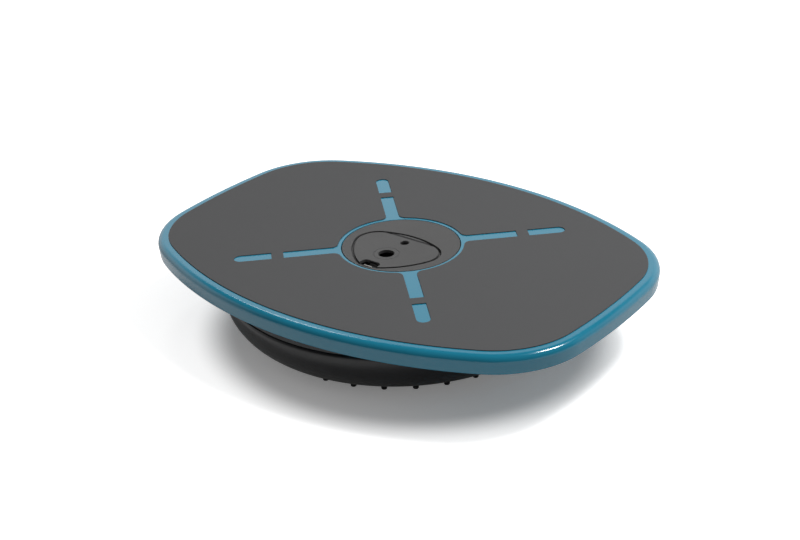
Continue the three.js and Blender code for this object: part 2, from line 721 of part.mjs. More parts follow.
// Lid with the pump hole, the bleed hole, the finger notch and the striker tab below.
function hubLid() {
  const whole = prism(new THREE.Shape(hatchOutline(-seamGap / 2)), lidBottomZ, hubTopZ);
  const rear = block(
    -2 * hatchHalfWidth,
    2 * hatchHalfWidth,
    hingeY - filmWidth / 2 - seatGap,
    2 * hatchTopY,
    lidBottomZ - overrun,
    hubTopZ + overrun,
  );
  const notchEnd = 2 * hatchNoseY;
  const notchShape = new THREE.Shape([
    new THREE.Vector2(-notchHalfWidth, notchEnd),
    new THREE.Vector2(notchHalfWidth, notchEnd),
    ...arc(notchHalfWidth - notchCorner, notchBackY - notchCorner, notchCorner, 0, quarter, filletSteps),
    ...arc(notchCorner - notchHalfWidth, notchBackY - notchCorner, notchCorner, quarter, Math.PI, filletSteps),
  ]);
  const notch = prism(notchShape, lidBottomZ - overrun, hubTopZ + overrun);
  const tabBottom = lidBottomZ - strikerDrop;
  const tab = barAlongX([
    [notchBackY + strikerThickness, lidBottomZ + lidThickness / 2],
    [notchBackY, lidBottomZ + lidThickness / 2],
    [notchBackY, tabBottom + strikerThickness],
    [strikerEndY, tabBottom + strikerThickness],
    [strikerEndY, tabBottom],
    [notchBackY + strikerThickness, tabBottom],
  ], strikerHalfWidth);
  const dish = disc(dishRadius, hubTopZ - dishDepth, hubTopZ + overrun, roundSegments, 0, valveY)
    .subtract(disc(dishRadius - dishDepth, hubTopZ - overrun, hubTopZ + overrun, roundSegments, 0, valveY));
  const bevel = revolved([
    [0, hubTopZ - bleedBevel],
    [bleedHoleRadius, hubTopZ - bleedBevel],
    [bleedHoleRadius + bleedBevel, hubTopZ],
    [bleedHoleRadius + bleedBevel, hubTopZ + overrun],
    [0, hubTopZ + overrun],
  ]).translate([0, bleedY, 0]);
  const panel = cut(whole, [rear, notch, dish]);
  return cut(panel.add(tab), [
    disc(pumpHoleRadius, lidBottomZ - overrun, hubTopZ + overrun, 2 * smallSegments, 0, valveY),
    disc(bleedHoleRadius, lidBottomZ - overrun, hubTopZ + overrun, smallSegments, 0, bleedY),
    bevel,
  ]);
}

// Catch lever that rocks on its round foot. Its hook lies over the lid's striker tab.
function lidCatch() {
  const top = hubTopZ - catchTopDrop - catchPivotZ();
  const hookBottom = lidBottomZ - strikerDrop + strikerThickness + seatGap - catchPivotZ();
  const back = catchThickness / 2;
  const blade = barAlongX([
    [-back, 0],
    [back, 0],
    [back, hookBottom],
    [back + catchHookReach, hookBottom],
    [back, hookBottom + catchHookHeight],
    [back, top],
    [-back, top],
  ], catchHalfWidth);
  const foot = new THREE.CylinderGeometry(catchFootRadius, catchFootRadius, 2 * catchHalfWidth, smallSegments);
  foot.rotateZ(quarter);
  return blade.add(solidOf(foot));
}

function catchPivotZ() {
  return bayFloorZ + seatGap + catchFootRadius;
}

// Inlet valve: barrel in the sheet's neck, flange below the bay floor, collar above it.
function valveBody() {
  const flangeTop = -bayFloor - seatGap - sealThickness - seatGap;
  const barrelEnd = sheetBottomZ - valveTail - bayFloorZ;
  return revolved([
    [valveBoreRadius, barrelEnd],
    [valveBarrelRadius, barrelEnd],
    [valveBarrelRadius, flangeTop - valveFlange],
    [valveFlangeRadius, flangeTop - valveFlange],
    [valveFlangeRadius, flangeTop],
    [valveCollarRadius, flangeTop],
    [valveCollarRadius, valveCollarHeight],
    [valveBoreRadius, valveCollarHeight],
    [valveBoreRadius, barrelEnd],
  ]);
}

function valveSeal() {
  const top = -bayFloor - seatGap;
  return tube(valveFlangeRadius, valveCollarRadius + seatGap, top - sealThickness, top, smallSegments);
}

function valveNut() {
  const bore = disc(valveCollarRadius + seatGap, -overrun, valveNutHeight + 2 * overrun, smallSegments);
  return hexagon(valveNutAcrossFlats, seatGap, seatGap + valveNutHeight).subtract(bore);
}

// Stopper with a finger tab on its head.
function valvePlug() {
  const seat = valveCollarHeight + seatGap;
  const plug = revolved([
    [0, seat - plugStemLength],
    [plugStemRadius - plugTabHeight / 2, seat - plugStemLength],
    [plugStemRadius, seat - plugStemLength + plugTabHeight],
    [plugStemRadius, seat],
    [plugHeadRadius, seat],
    [plugHeadRadius, seat + plugHeadHeight - plugTabHeight],
    [0, seat + plugHeadHeight - plugTabHeight],
  ]);
  const half = plugHeadRadius / Math.SQRT2;
  const top = seat + plugHeadHeight;
  return plug.add(block(-half, half, -plugTabWidth / 2, plugTabWidth / 2, seat, top));
}

function bleedBody() {
  const flangeTop = -bayFloor - seatGap;
  const barrelEnd = sheetBottomZ - bleedTail - bayFloorZ;
  return revolved([
    [bleedBoreRadius, barrelEnd],
    [bleedBarrelRadius, barrelEnd],
    [bleedBarrelRadius, flangeTop - valveFlange],
    [bleedFlangeRadius, flangeTop - valveFlange],
    [bleedFlangeRadius, flangeTop],
    [bleedBoreRadius, flangeTop],
    [bleedBoreRadius, barrelEnd],
  ]);
}

function bleedButton() {
  const capBottom = bleedBossHeight + seatGap + springHeight;
  const stemEnd = sheetBottomZ + bleedStemLift - bayFloorZ;
  return revolved([
    [0, stemEnd],
    [bleedStemRadius, stemEnd],
    [bleedStemRadius, capBottom],
    [bleedCapRadius, capBottom],
    [bleedCapRadius, capBottom + bleedCapHeight],
    [0, capBottom + bleedCapHeight],
  ]);
}

class Coil extends THREE.Curve {
  getPoint(t, target = new THREE.Vector3()) {
    const angle = full * springTurns * t;
    const rise = springHeight - springWire - 2 * seatGap;
    return target.set(springRadius * Math.cos(angle), springRadius * Math.sin(angle), rise * t);
  }
}

function bleedSpring() {
  const section = new THREE.Shape(arc(0, 0, springWire / 2, 0, full, 6).slice(0, -1));
  const geometry = new THREE.ExtrudeGeometry(section, { steps: 8 * springTurns, extrudePath: new Coil() });
  return solidOf(geometry);
}

function deckScrew() {
  const end = deckTopZ - panWebBottomZ - overrun / 2;
  return joined([
    disc(deckScrewHeadRadius, -deckScrewHeadHeight, 0, smallSegments),
    disc(deckScrewRadius, -end, -deckScrewHeadHeight / 2, smallSegments),
  ]);
}

function hubScrew() {
  const shank = seatGap + hubWeb + seatGap + hubScrewBite;
  return joined([
    disc(hubScrewHeadRadius, -hubScrewHeadHeight, 0, smallSegments),
    disc(hubScrewRadius, -hubScrewHeadHeight / 2, shank, smallSegments),
  ]);
}

// Colours and finishes
const teal = new THREE.MeshStandardMaterial({ color: 0x4f93ac, roughness: 0.3, metalness: 0 });
const matGrey = new THREE.MeshStandardMaterial({ color: 0x5c5c5c, roughness: 0.85, metalness: 0 });
const hubGrey = new THREE.MeshStandardMaterial({ color: 0x696969, roughness: 0.6, metalness: 0 });
const panGrey = new THREE.MeshStandardMaterial({ color: 0x4a4b4d, roughness: 0.6, metalness: 0 });
const rubber = new THREE.MeshStandardMaterial({ color: 0x232325, roughness: 0.7, metalness: 0 });
const catchGrey = new THREE.MeshStandardMaterial({ color: 0xb3b1ac, roughness: 0.5, metalness: 0 });
const blackPlastic = new THREE.MeshStandardMaterial({ color: 0x17181a, roughness: 0.5, metalness: 0 });
const steel = new THREE.MeshStandardMaterial({ color: 0xa8abaf, roughness: 0.35, metalness: 1 });

const board = new THREE.Group();

function place(parent, name, solid, material, x = 0, y = 0, z = 0, turn = 0) {
  const mesh = new THREE.Mesh(solid, material);
  mesh.name = name;
  mesh.position.set(x, y, z);
  mesh.rotation.z = turn;
  parent.add(mesh);
  return mesh;
}

// Cushion and what clamps it to the carrier
const cushion = new THREE.Group();
board.add(cushion);
place(cushion, 'cushion_bowl', geometryOf(cushionBowl()), rubber);
place(cushion, 'cushion_sheet', geometryOf(cushionSheet()), rubber);
place(cushion, 'clamp_ring', geometryOf(clampRing()), steel);
place(cushion, 'carrier_pan', geometryOf(carrierPan()), panGrey);
const nutGeometry = geometryOf(clampNut());
around(studCount, studRingRadius).forEach(({ x, y, angle }, i) => {
  place(cushion, `clamp_nut_${i + 1}`, nutGeometry, steel, x, y, panWebTopZ + seatGap, angle);
});

// Deck, mat and the screws between them
const deck = new THREE.Group();
board.add(deck);
place(deck, 'deck_frame', geometryOf(deckFrame()), panGrey);
place(deck, 'deck_shell', geometryOf(deckShell()), teal);
place(deck, 'foot_mat', geometryOf(footMat()), matGrey);
const deckScrewGeometry = geometryOf(deckScrew());
deckScrewPlaces().forEach(({ x, y }, i) => {
  place(deck, `deck_screw_${i + 1}`, deckScrewGeometry, steel, x, y, deckTopZ);
});

// Hub with its lid, hinge and catch
const hub = new THREE.Group();
board.add(hub);
place(hub, 'hub_housing', geometryOf(hubHousing()), hubGrey);
place(hub, 'hinge_leaf', geometryOf(hingeLeaf()), hubGrey);
place(hub, 'hinge_film', geometryOf(hingeFilm()), rubber, 0, hingeY, 0);
place(hub, 'hub_lid', geometryOf(hubLid()), hubGrey);
place(hub, 'lid_catch', geometryOf(lidCatch()), catchGrey, 0, catchFaceY - catchThickness / 2, catchPivotZ());
const hubScrewGeometry = geometryOf(hubScrew());
hubScrewPlaces().forEach(([x, y], i) => {
  place(hub, `hub_screw_${i + 1}`, hubScrewGeometry, steel, x, y, webBottomZ - seatGap);
});

// Inlet valve, placed on the bay floor under the pump hole
const inlet = new THREE.Group();
inlet.position.set(0, valveY, bayFloorZ);
hub.add(inlet);
place(inlet, 'valve_body', geometryOf(valveBody()), blackPlastic);
place(inlet, 'valve_seal', geometryOf(valveSeal()), rubber);
place(inlet, 'valve_nut', geometryOf(valveNut()), blackPlastic);
place(inlet, 'valve_plug', geometryOf(valvePlug()), rubber);

// Bleed valve, placed on the bay floor under the small hole
const bleed = new THREE.Group();
bleed.position.set(0, bleedY, bayFloorZ);
hub.add(bleed);
place(bleed, 'bleed_body', geometryOf(bleedBody()), blackPlastic);
place(bleed, 'bleed_button', geometryOf(bleedButton()), blackPlastic);
const springSeat = bleedBossHeight + seatGap + springWire / 2;
place(bleed, 'bleed_spring', geometryOf(bleedSpring()), steel, 0, 0, springSeat);

export default board;
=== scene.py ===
# %% [markdown]
# # A balance board on an air cushion
#
# The real thing is a teal deck to stand on, with a grey foot mat, resting on a round
# rubber cushion that is pumped up with air. A hatch in the middle opens onto the valve.
# This lesson dresses a finished engineering model. The sizes are fixed, so each piece
# is modelled where that model says, and only shapes, edges and finishes are ours.

# %% Load the frame
import json
import math
from contextlib import contextmanager

import bmesh
import bpy
from mathutils import Matrix, Vector

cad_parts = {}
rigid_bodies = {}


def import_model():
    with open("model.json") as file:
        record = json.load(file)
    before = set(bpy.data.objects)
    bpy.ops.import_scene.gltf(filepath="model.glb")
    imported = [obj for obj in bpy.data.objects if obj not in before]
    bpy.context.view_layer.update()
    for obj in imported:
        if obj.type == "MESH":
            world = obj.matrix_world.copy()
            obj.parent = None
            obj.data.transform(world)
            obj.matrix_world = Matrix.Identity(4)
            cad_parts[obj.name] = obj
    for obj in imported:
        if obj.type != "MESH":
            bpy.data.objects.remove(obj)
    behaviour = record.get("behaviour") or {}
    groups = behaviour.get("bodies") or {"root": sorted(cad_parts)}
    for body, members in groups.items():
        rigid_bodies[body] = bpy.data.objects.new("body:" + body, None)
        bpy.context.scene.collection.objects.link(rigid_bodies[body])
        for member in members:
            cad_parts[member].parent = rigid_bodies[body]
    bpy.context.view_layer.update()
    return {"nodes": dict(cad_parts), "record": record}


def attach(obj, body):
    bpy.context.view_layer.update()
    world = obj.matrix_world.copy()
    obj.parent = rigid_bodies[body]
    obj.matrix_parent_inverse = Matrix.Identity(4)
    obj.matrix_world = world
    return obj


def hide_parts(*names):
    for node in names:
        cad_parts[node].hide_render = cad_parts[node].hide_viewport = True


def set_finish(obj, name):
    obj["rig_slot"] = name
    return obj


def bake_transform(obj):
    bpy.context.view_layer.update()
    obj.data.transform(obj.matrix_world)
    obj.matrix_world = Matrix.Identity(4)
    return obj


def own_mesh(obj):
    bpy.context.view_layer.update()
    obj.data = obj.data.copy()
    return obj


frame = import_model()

MM = 0.001

# %% [markdown]
# ## The camera
#
# A product photograph is matched by its camera first. The lens, the height and a slight
# roll come from lining up the deck's edge, the round hub and the ring of nubs. The
# camera is placed by its angles round the hub, which reads better than nine numbers of
# a matrix, and it is aimed a little below the hub, so that the board sits high in view.

# %% Camera at the photographer's place
AIM = Vector((0, 0, 85.2 * MM))
AZIMUTH = math.radians(38.8)
ELEVATION = math.radians(26.61)
ROLL = math.radians(2.53)
DISTANCE = 1617 * MM
AIM_RIGHT = 1.0 * MM
AIM_UP = 26.9 * MM
LENS = 70.5

level = Vector((math.cos(AZIMUTH), math.sin(AZIMUTH), 0))
back = Vector((
    math.sin(AZIMUTH) * math.cos(ELEVATION),
    -math.cos(AZIMUTH) * math.cos(ELEVATION),
    math.sin(ELEVATION),
))
upright = back.cross(level)
right = level * math.cos(ROLL) - upright * math.sin(ROLL)
up = upright * math.cos(ROLL) + level * math.sin(ROLL)

bpy.ops.object.select_all(action="DESELECT")
bpy.ops.object.camera_add()
camera = bpy.context.object
camera.name = "photo_camera"
camera.data.lens = LENS
camera.data.clip_end = 20
turn = Matrix((right, up, back)).transposed().to_4x4()
place = AIM + back * DISTANCE - right * AIM_RIGHT - up * AIM_UP
camera.matrix_world = Matrix.Translation(place) @ turn
bpy.context.scene.camera = camera
print("camera at", [round(v, 3) for v in place], "lens", LENS)

# %% [markdown]
# ## Studio
#
# The ground is pure white with one soft shadow under the board. A white ground is made
# by what the camera sees, not by more light on the object: world and floor are brighter
# for camera rays than for the rays that light the board. The floor's glow for the camera
# is weak in an oval round the board, which is painted shade there, and strong outside it,
# so that the floor turns fully white a little way outside the board. From below, the floor
# is clear, so that the underside can be looked at. Gloss sees the floor's white paint as
# the camera does, a white backdrop low down behind the board and a dim room behind the
# camera, which turns flat teal pale and leaves a dark line below the edge's gleam.

# %% World
scene = bpy.context.scene
scene.view_settings.view_transform = "Standard"

WORLD_LEVEL = 0.264
BACKDROP = 1.0
DIM_ROOM = 0.032
BACKDROP_TURN = (-0.25, 0.45)
BACKDROP_HEIGHT = (0.66, 0.42)
away = (-back.xy).normalized()


def ray_kinds(tree):
    """1 for camera and glass rays, and 1 for gloss rays, as two outputs."""
    path = tree.nodes.new("ShaderNodeLightPath")
    direct = tree.nodes.new("ShaderNodeMath")
    direct.operation = "MAXIMUM"
    tree.links.new(path.outputs["Is Camera Ray"], direct.inputs[0])
    tree.links.new(path.outputs["Is Transmission Ray"], direct.inputs[1])
    return direct.outputs[0], path.outputs["Is Glossy Ray"]


def ramp(tree, value, start, end):
    """A smooth step from 0 at the start to 1 at the end."""
    step = tree.nodes.new("ShaderNodeMapRange")
    step.interpolation_type = "SMOOTHSTEP"
    step.inputs["From Min"].default_value = min(start, end)
    step.inputs["From Max"].default_value = max(start, end)
    step.inputs["To Min"].default_value = float(start > end)
    step.inputs["To Max"].default_value = float(start < end)
    tree.links.new(value, step.inputs["Value"])
    return step.outputs["Result"]


def blend_levels(tree, factor, low, high):
    """Mixes two levels. Each may be a number or another node's output."""
    mix = tree.nodes.new("ShaderNodeMix")
    tree.links.new(factor, mix.inputs["Factor"])
    for socket, level in ((mix.inputs["A"], low), (mix.inputs["B"], high)):
        if isinstance(level, float):
            socket.default_value = level
        else:
            tree.links.new(level, socket)
    return mix.outputs["Result"]


world = bpy.data.worlds.new("studio_world")
scene.world = world
world.use_nodes = True
tree = world.node_tree
tree.nodes.clear()
toward = tree.nodes.new("ShaderNodeTexCoord").outputs["Generated"]
facing = tree.nodes.new("ShaderNodeVectorMath")
facing.operation = "DOT_PRODUCT"
facing.inputs[1].default_value = (*away, 0)
tree.links.new(toward, facing.inputs[0])
split = tree.nodes.new("ShaderNodeSeparateXYZ")
tree.links.new(toward, split.inputs[0])
low_behind = tree.nodes.new("ShaderNodeMath")
low_behind.operation = "MULTIPLY"
tree.links.new(ramp(tree, facing.outputs["Value"], *BACKDROP_TURN), low_behind.inputs[0])
tree.links.new(ramp(tree, split.outputs["Z"], *BACKDROP_HEIGHT), low_behind.inputs[1])
direct, gloss = ray_kinds(tree)
in_gloss = blend_levels(tree, low_behind.outputs[0], DIM_ROOM, BACKDROP)
indirect = blend_levels(tree, gloss, WORLD_LEVEL, in_gloss)
background = tree.nodes.new("ShaderNodeBackground")
background.inputs["Color"].default_value = (1, 1, 1, 1)
tree.links.new(blend_levels(tree, direct, indirect, 1.0), background.inputs["Strength"])
world_out = tree.nodes.new("ShaderNodeOutputWorld")
tree.links.new(background.outputs[0], world_out.inputs["Surface"])
print("world level", WORLD_LEVEL, "backdrop", BACKDROP)

# %% Floor
FLOOR_SIZE = 12.0
FLOOR_SEEN = 1.0
FLOOR_BOUNCE = 0.45
# For the camera the floor glows weakly in an oval round the board and strongly outside it. The weak
# glow in the oval is painted shade round the board, and the strong glow outside paints over the
# faint edge of the real shadow.
GLOW_IN_PAINTED_SHADE = 0.16
GLOW_OUTSIDE_PAINTED_SHADE = 0.75
PAINTED_SHADE_MIDDLE = (0.02, -0.02, 0.0)
PAINTED_SHADE_REACH = (0.232, 0.205, 1.0)
PAINTED_SHADE_EDGE = (0.80, 1.03)

bpy.ops.object.select_all(action="DESELECT")
bpy.ops.mesh.primitive_plane_add(size=FLOOR_SIZE, location=(0, 0, 0))
floor = bpy.context.object
floor.name = "studio_floor"
floor_paint = bpy.data.materials.new("studio_floor_paint")
floor_paint.use_nodes = True
tree = floor_paint.node_tree
tree.nodes.clear()
direct, gloss = ray_kinds(tree)
seen = tree.nodes.new("ShaderNodeMath")
seen.operation = "MAXIMUM"
tree.links.new(direct, seen.inputs[0])
tree.links.new(gloss, seen.inputs[1])
grey = tree.nodes.new("ShaderNodeCombineColor")
for channel in grey.inputs:
    tree.links.new(blend_levels(tree, seen.outputs[0], FLOOR_BOUNCE, FLOOR_SEEN), channel)
diffuse = tree.nodes.new("ShaderNodeBsdfDiffuse")
tree.links.new(grey.outputs[0], diffuse.inputs["Color"])
# The oval of painted shade round the board: weak glow inside it, strong glow outside.
spot = tree.nodes.new("ShaderNodeMapping")
spot.vector_type = "TEXTURE"
spot.inputs["Location"].default_value = PAINTED_SHADE_MIDDLE
spot.inputs["Scale"].default_value = PAINTED_SHADE_REACH
tree.links.new(tree.nodes.new("ShaderNodeTexCoord").outputs["Object"], spot.inputs["Vector"])
painted_shade_distance = tree.nodes.new("ShaderNodeVectorMath")
painted_shade_distance.operation = "LENGTH"
tree.links.new(spot.outputs[0], painted_shade_distance.inputs[0])
out_of_painted_shade = ramp(tree, painted_shade_distance.outputs["Value"], *PAINTED_SHADE_EDGE)
level = blend_levels(tree, out_of_painted_shade, GLOW_IN_PAINTED_SHADE, GLOW_OUTSIDE_PAINTED_SHADE)
floor_glow_and_painted_shade = tree.nodes.new("ShaderNodeEmission")
tree.links.new(blend_levels(tree, direct, 0.0, level), floor_glow_and_painted_shade.inputs["Strength"])
both = tree.nodes.new("ShaderNodeAddShader")
tree.links.new(diffuse.outputs[0], both.inputs[0])
tree.links.new(floor_glow_and_painted_shade.outputs[0], both.inputs[1])
one_sided = tree.nodes.new("ShaderNodeMixShader")
tree.links.new(tree.nodes.new("ShaderNodeNewGeometry").outputs["Backfacing"], one_sided.inputs[0])
tree.links.new(both.outputs[0], one_sided.inputs[1])
tree.links.new(tree.nodes.new("ShaderNodeBsdfTransparent").outputs[0], one_sided.inputs[2])
floor_out = tree.nodes.new("ShaderNodeOutputMaterial")
tree.links.new(one_sided.outputs[0], floor_out.inputs["Surface"])
floor.data.materials.append(floor_paint)
print("floor", FLOOR_SIZE, "m")

# %% [markdown]
# Two softboxes. The first, behind at the right, gives the shadow its side and its soft
# limit. The second stands behind at the left and is weak, but the rounded edge of the
# deck mirrors it as a long bright line.

# %% Lamps
LAMPS = {
    "side_softbox": ((0.98, 1.05, 2.63), 0.65, 57.0),
    "edge_softbox": ((-1.6, 1.2, 1.78), 0.45, 3.5),
}
for name, (spot, size, power) in LAMPS.items():
    bpy.ops.object.select_all(action="DESELECT")
    bpy.ops.object.light_add(type="AREA", location=spot)
    lamp = bpy.context.object
    lamp.name = name
    lamp.data.size = size
    lamp.data.energy = power
    lamp.rotation_euler = (Vector(spot) - AIM).to_track_quat("Z", "Y").to_euler()
    print(name, "at", spot, power, "W")

# %% [markdown]
# ## Hand tools
#
# Blender's operators act on whatever is selected, so each helper first clears the
# selection. The helpers here only save typing: take an object into edit mode, pick
# edges or faces by where they are, cut one solid with another, and round off edges.

# %% Selecting and editing
def alone(piece):
    """Makes this object the only selected one, and the active one."""
    if bpy.context.object and bpy.context.object.mode != "OBJECT":
        bpy.ops.object.mode_set(mode="OBJECT")
    bpy.ops.object.select_all(action="DESELECT")
    piece.select_set(True)
    bpy.context.view_layer.objects.active = piece


@contextmanager
def editing(piece, kind="VERT"):
    """Edit mode on one object, with nothing in it selected."""
    alone(piece)
    bpy.ops.object.mode_set(mode="EDIT")
    bpy.ops.mesh.select_mode(type=kind)
    bpy.ops.mesh.select_all(action="DESELECT")
    yield bmesh.from_edit_mesh(piece.data)
    bmesh.update_edit_mesh(piece.data)
    bpy.ops.object.mode_set(mode="OBJECT")


def pick(mesh, items, test):
    """Selects the items that pass the test, and says how many."""
    found = [item for item in items if test(item)]
    for item in found:
        item.select_set(True)
    mesh.select_flush_mode()
    return len(found)


def sharp(edge, angle=0.5):
    """True for an edge between two faces that meet at more than the angle."""
    return edge.is_manifold and edge.calc_face_angle() > angle


def round_edges(piece, width, steps, test):
    """Bevels the sharp edges whose ends pass the test, and says how many there were."""
    with editing(piece, "EDGE") as mesh:
        count = pick(mesh, mesh.edges, lambda e: sharp(e) and all(test(v.co) for v in e.verts))
        bmesh.update_edit_mesh(piece.data)
        if count:
            bpy.ops.mesh.bevel(offset=width, segments=steps, affect="EDGES", clamp_overlap=True)
    return count


def tidy(piece, smooth_angle=32):
    """Merges doubles, turns the faces outwards and shades curved faces smoothly."""
    with editing(piece):
        bpy.ops.mesh.select_all(action="SELECT")
        bpy.ops.mesh.remove_doubles(threshold=0.002 * MM)
        bpy.ops.mesh.normals_make_consistent(inside=False)
    alone(piece)
    bpy.ops.object.shade_smooth_by_angle(angle=math.radians(smooth_angle))
    return piece


def settle(piece):
    """The last tidy of a piece: large flat faces keep their shading flat."""
    tidy(piece)
    modifier = piece.modifiers.new("flat faces", "WEIGHTED_NORMAL")
    modifier.keep_sharp = True
    modifier.weight = 100
    bpy.ops.object.modifier_apply(modifier="flat faces")
    return piece


def carve(piece, tool, operation="DIFFERENCE"):
    """Cuts, joins or trims a piece with a tool solid, which is used up."""
    modifier = piece.modifiers.new("carve", "BOOLEAN")
    modifier.operation = operation
    modifier.solver = "EXACT"
    modifier.object = tool
    alone(piece)
    bpy.ops.object.modifier_apply(modifier="carve")
    bpy.data.objects.remove(tool, do_unlink=True)
    return piece


def fused(first, *others):
    """Joins objects into one mesh."""
    alone(first)
    for other in others:
        other.select_set(True)
    bpy.ops.object.join()
    return first


print("hand tools ready")

# %% [markdown]
# Two ways of making a solid cover most of this board. A flat piece starts as a circle
# whose points are moved on to an outline, is filled, and is extruded ring by ring. A
# round piece starts as a circle whose points are moved on to half of its section, and
# is spun about its axis, as on a lathe.

# %% Plates and turned pieces
def arc(x, y, radius, start, end, steps):
    """Points along an arc about (x, y)."""
    turns = [start + (end - start) * i / steps for i in range(steps + 1)]
    return [(x + radius * math.cos(a), y + radius * math.sin(a)) for a in turns]


def ring_of(face, outline):
    """The corners of a face, in the order of the outline that it came from."""
    ring = [loop.vert for loop in face.loops]
    first, second = (Vector((x, y)) * MM for x, y in outline[:2])
    start = min(range(len(ring)), key=lambda i: (ring[i].co.xy - first).length)
    ring = ring[start:] + ring[:start]
    if (ring[1].co.xy - second).length > (ring[-1].co.xy - second).length:
        ring = ring[:1] + ring[:0:-1]
    return ring


def plate(name, layers):
    """A solid from outlines in millimetres, each with its height, in turn."""
    outline, height = layers[0]
    bpy.ops.object.select_all(action="DESELECT")
    bpy.ops.mesh.primitive_circle_add(vertices=len(outline), radius=MM, fill_type="NGON")
    piece = bpy.context.object
    piece.name = name
    for vertex, (x, y) in zip(piece.data.vertices, outline):
        vertex.co = Vector((x, y, height)) * MM
    with editing(piece, "FACE"):
        bpy.ops.mesh.select_all(action="SELECT")
        for wider, height in layers[1:]:
            bpy.ops.mesh.extrude_region_move()
            mesh = bmesh.from_edit_mesh(piece.data)
            face = next(f for f in mesh.faces if f.select)
            for vertex, (x, y) in zip(ring_of(face, outline), wider):
                vertex.co = Vector((x, y, height)) * MM
            bmesh.update_edit_mesh(piece.data)
            outline = wider
    return tidy(piece)


def turned(name, profile, steps=96, closed=True, centre=(0, 0)):
    """A solid spun about a vertical axis from a section of (radius, height) points."""
    bpy.ops.object.select_all(action="DESELECT")
    bpy.ops.mesh.primitive_circle_add(vertices=len(profile), radius=MM, fill_type="NOTHING")
    piece = bpy.context.object
    piece.name = name
    for vertex, (radius, height) in zip(piece.data.vertices, profile):
        vertex.co = Vector((radius, 0, height)) * MM
    with editing(piece, "EDGE") as mesh:
        if not closed:
            ends = {0, len(profile) - 1}
            pick(mesh, mesh.edges, lambda e: {v.index for v in e.verts} == ends)
            bmesh.update_edit_mesh(piece.data)
            bpy.ops.mesh.delete(type="EDGE")
        bpy.ops.mesh.select_all(action="SELECT")
        bpy.ops.mesh.spin(steps=steps, angle=2 * math.pi, center=(0, 0, 0), axis=(0, 0, 1))
    piece.data.transform(Matrix.Translation(Vector((*centre, 0)) * MM))
    return tidy(piece)


def rod(name, radius, bottom, top, centre=(0, 0), steps=48):
    """A plain round tool for cutting holes."""
    section = [(0, bottom), (radius, bottom), (radius, top), (0, top)]
    return turned(name, section, steps, False, centre)


def bar(name, low, high):
    """A box between two corners, in millimetres."""
    bpy.ops.object.select_all(action="DESELECT")
    bpy.ops.mesh.primitive_cube_add(size=1)
    piece = bpy.context.object
    piece.name = name
    size = Vector(high) - Vector(low)
    middle = (Vector(high) + Vector(low)) / 2
    for vertex in piece.data.vertices:
        vertex.co = (Vector(a * b for a, b in zip(vertex.co, size)) + middle) * MM
    return piece


def along_x(name, outline, half):
    """A bar along X, from an outline of (y, z) points."""
    piece = plate(name, [(outline, -half), (outline, half)])
    piece.data.transform(Matrix(((0, 0, 1, 0), (1, 0, 0, 0), (0, 1, 0, 0), (0, 0, 0, 1))))
    return tidy(piece)


def in_circle(piece, count, first=0.0):
    """Copies a piece round the Z axis, each copy with its own mesh, and joins them all."""
    copies = []
    for i in range(1, count):
        copy = piece.copy()
        copy.data = piece.data.copy()
        copy.data.transform(Matrix.Rotation(first + 2 * math.pi * i / count, 4, "Z"))
        bpy.context.collection.objects.link(copy)
        copies.append(copy)
    piece.data.transform(Matrix.Rotation(first, 4, "Z"))
    return fused(piece, *copies)


print("plates and turned pieces ready")

# %% [markdown]
# ## The deck
#
# The deck is one glossy moulding: a top plate with a rounded edge and a skirt all round.
# Its outline has slightly bowed ends, round corners and long bowed sides that all run
# into each other. Because arcs meet arcs tangentially, one function can give that
# outline at any distance from the mat's edge, and the fillet is then a stack of them.

# %% Outline of the board
MAT_HALF_LENGTH = 248.2
MAT_HALF_WIDTH = 181.2
END_BOW = 700.0
SIDE_BOW = 440.0
CORNER_RADIUS = 90.0


def board_outline(offset, end_steps=8, corner_steps=24, side_steps=20):
    """The board's outline, moved out from the mat's edge by the offset."""
    end_x, side_y = MAT_HALF_LENGTH - END_BOW, MAT_HALF_WIDTH - SIDE_BOW
    to_end, to_side = END_BOW - CORNER_RADIUS, SIDE_BOW - CORNER_RADIUS
    span = math.hypot(end_x, side_y)
    reach = (to_end**2 - to_side**2 + span**2) / (2 * span)
    aside = math.sqrt(to_end**2 - reach**2)
    ux, uy = -end_x / span, side_y / span
    corner_x, corner_y = end_x + ux * reach - uy * aside, uy * reach + ux * aside
    end_turn = math.atan2(corner_y, corner_x - end_x)
    side_turn = math.atan2(corner_y - side_y, corner_x)
    first = arc(end_x, 0, END_BOW + offset, 0, end_turn, end_steps)
    first += arc(corner_x, corner_y, CORNER_RADIUS + offset, end_turn, side_turn, corner_steps)[1:]
    first += arc(0, side_y, SIDE_BOW + offset, side_turn, math.pi / 2, side_steps)[1:]
    upper = first + [(-x, y) for x, y in reversed(first[1:-1])]
    return upper + [(-x, -y) for x, y in upper]


print("outline of", len(board_outline(0)), "points")

# %% Deck body
DECK_BOTTOM = 65.4
DECK_TOP = 84.3
PLATE_BOTTOM = 80.5
RIM_FLAT = 5.3
FILLET = 6.5
HUB_HOLE = 62.0
SCREW_RING = 150.0

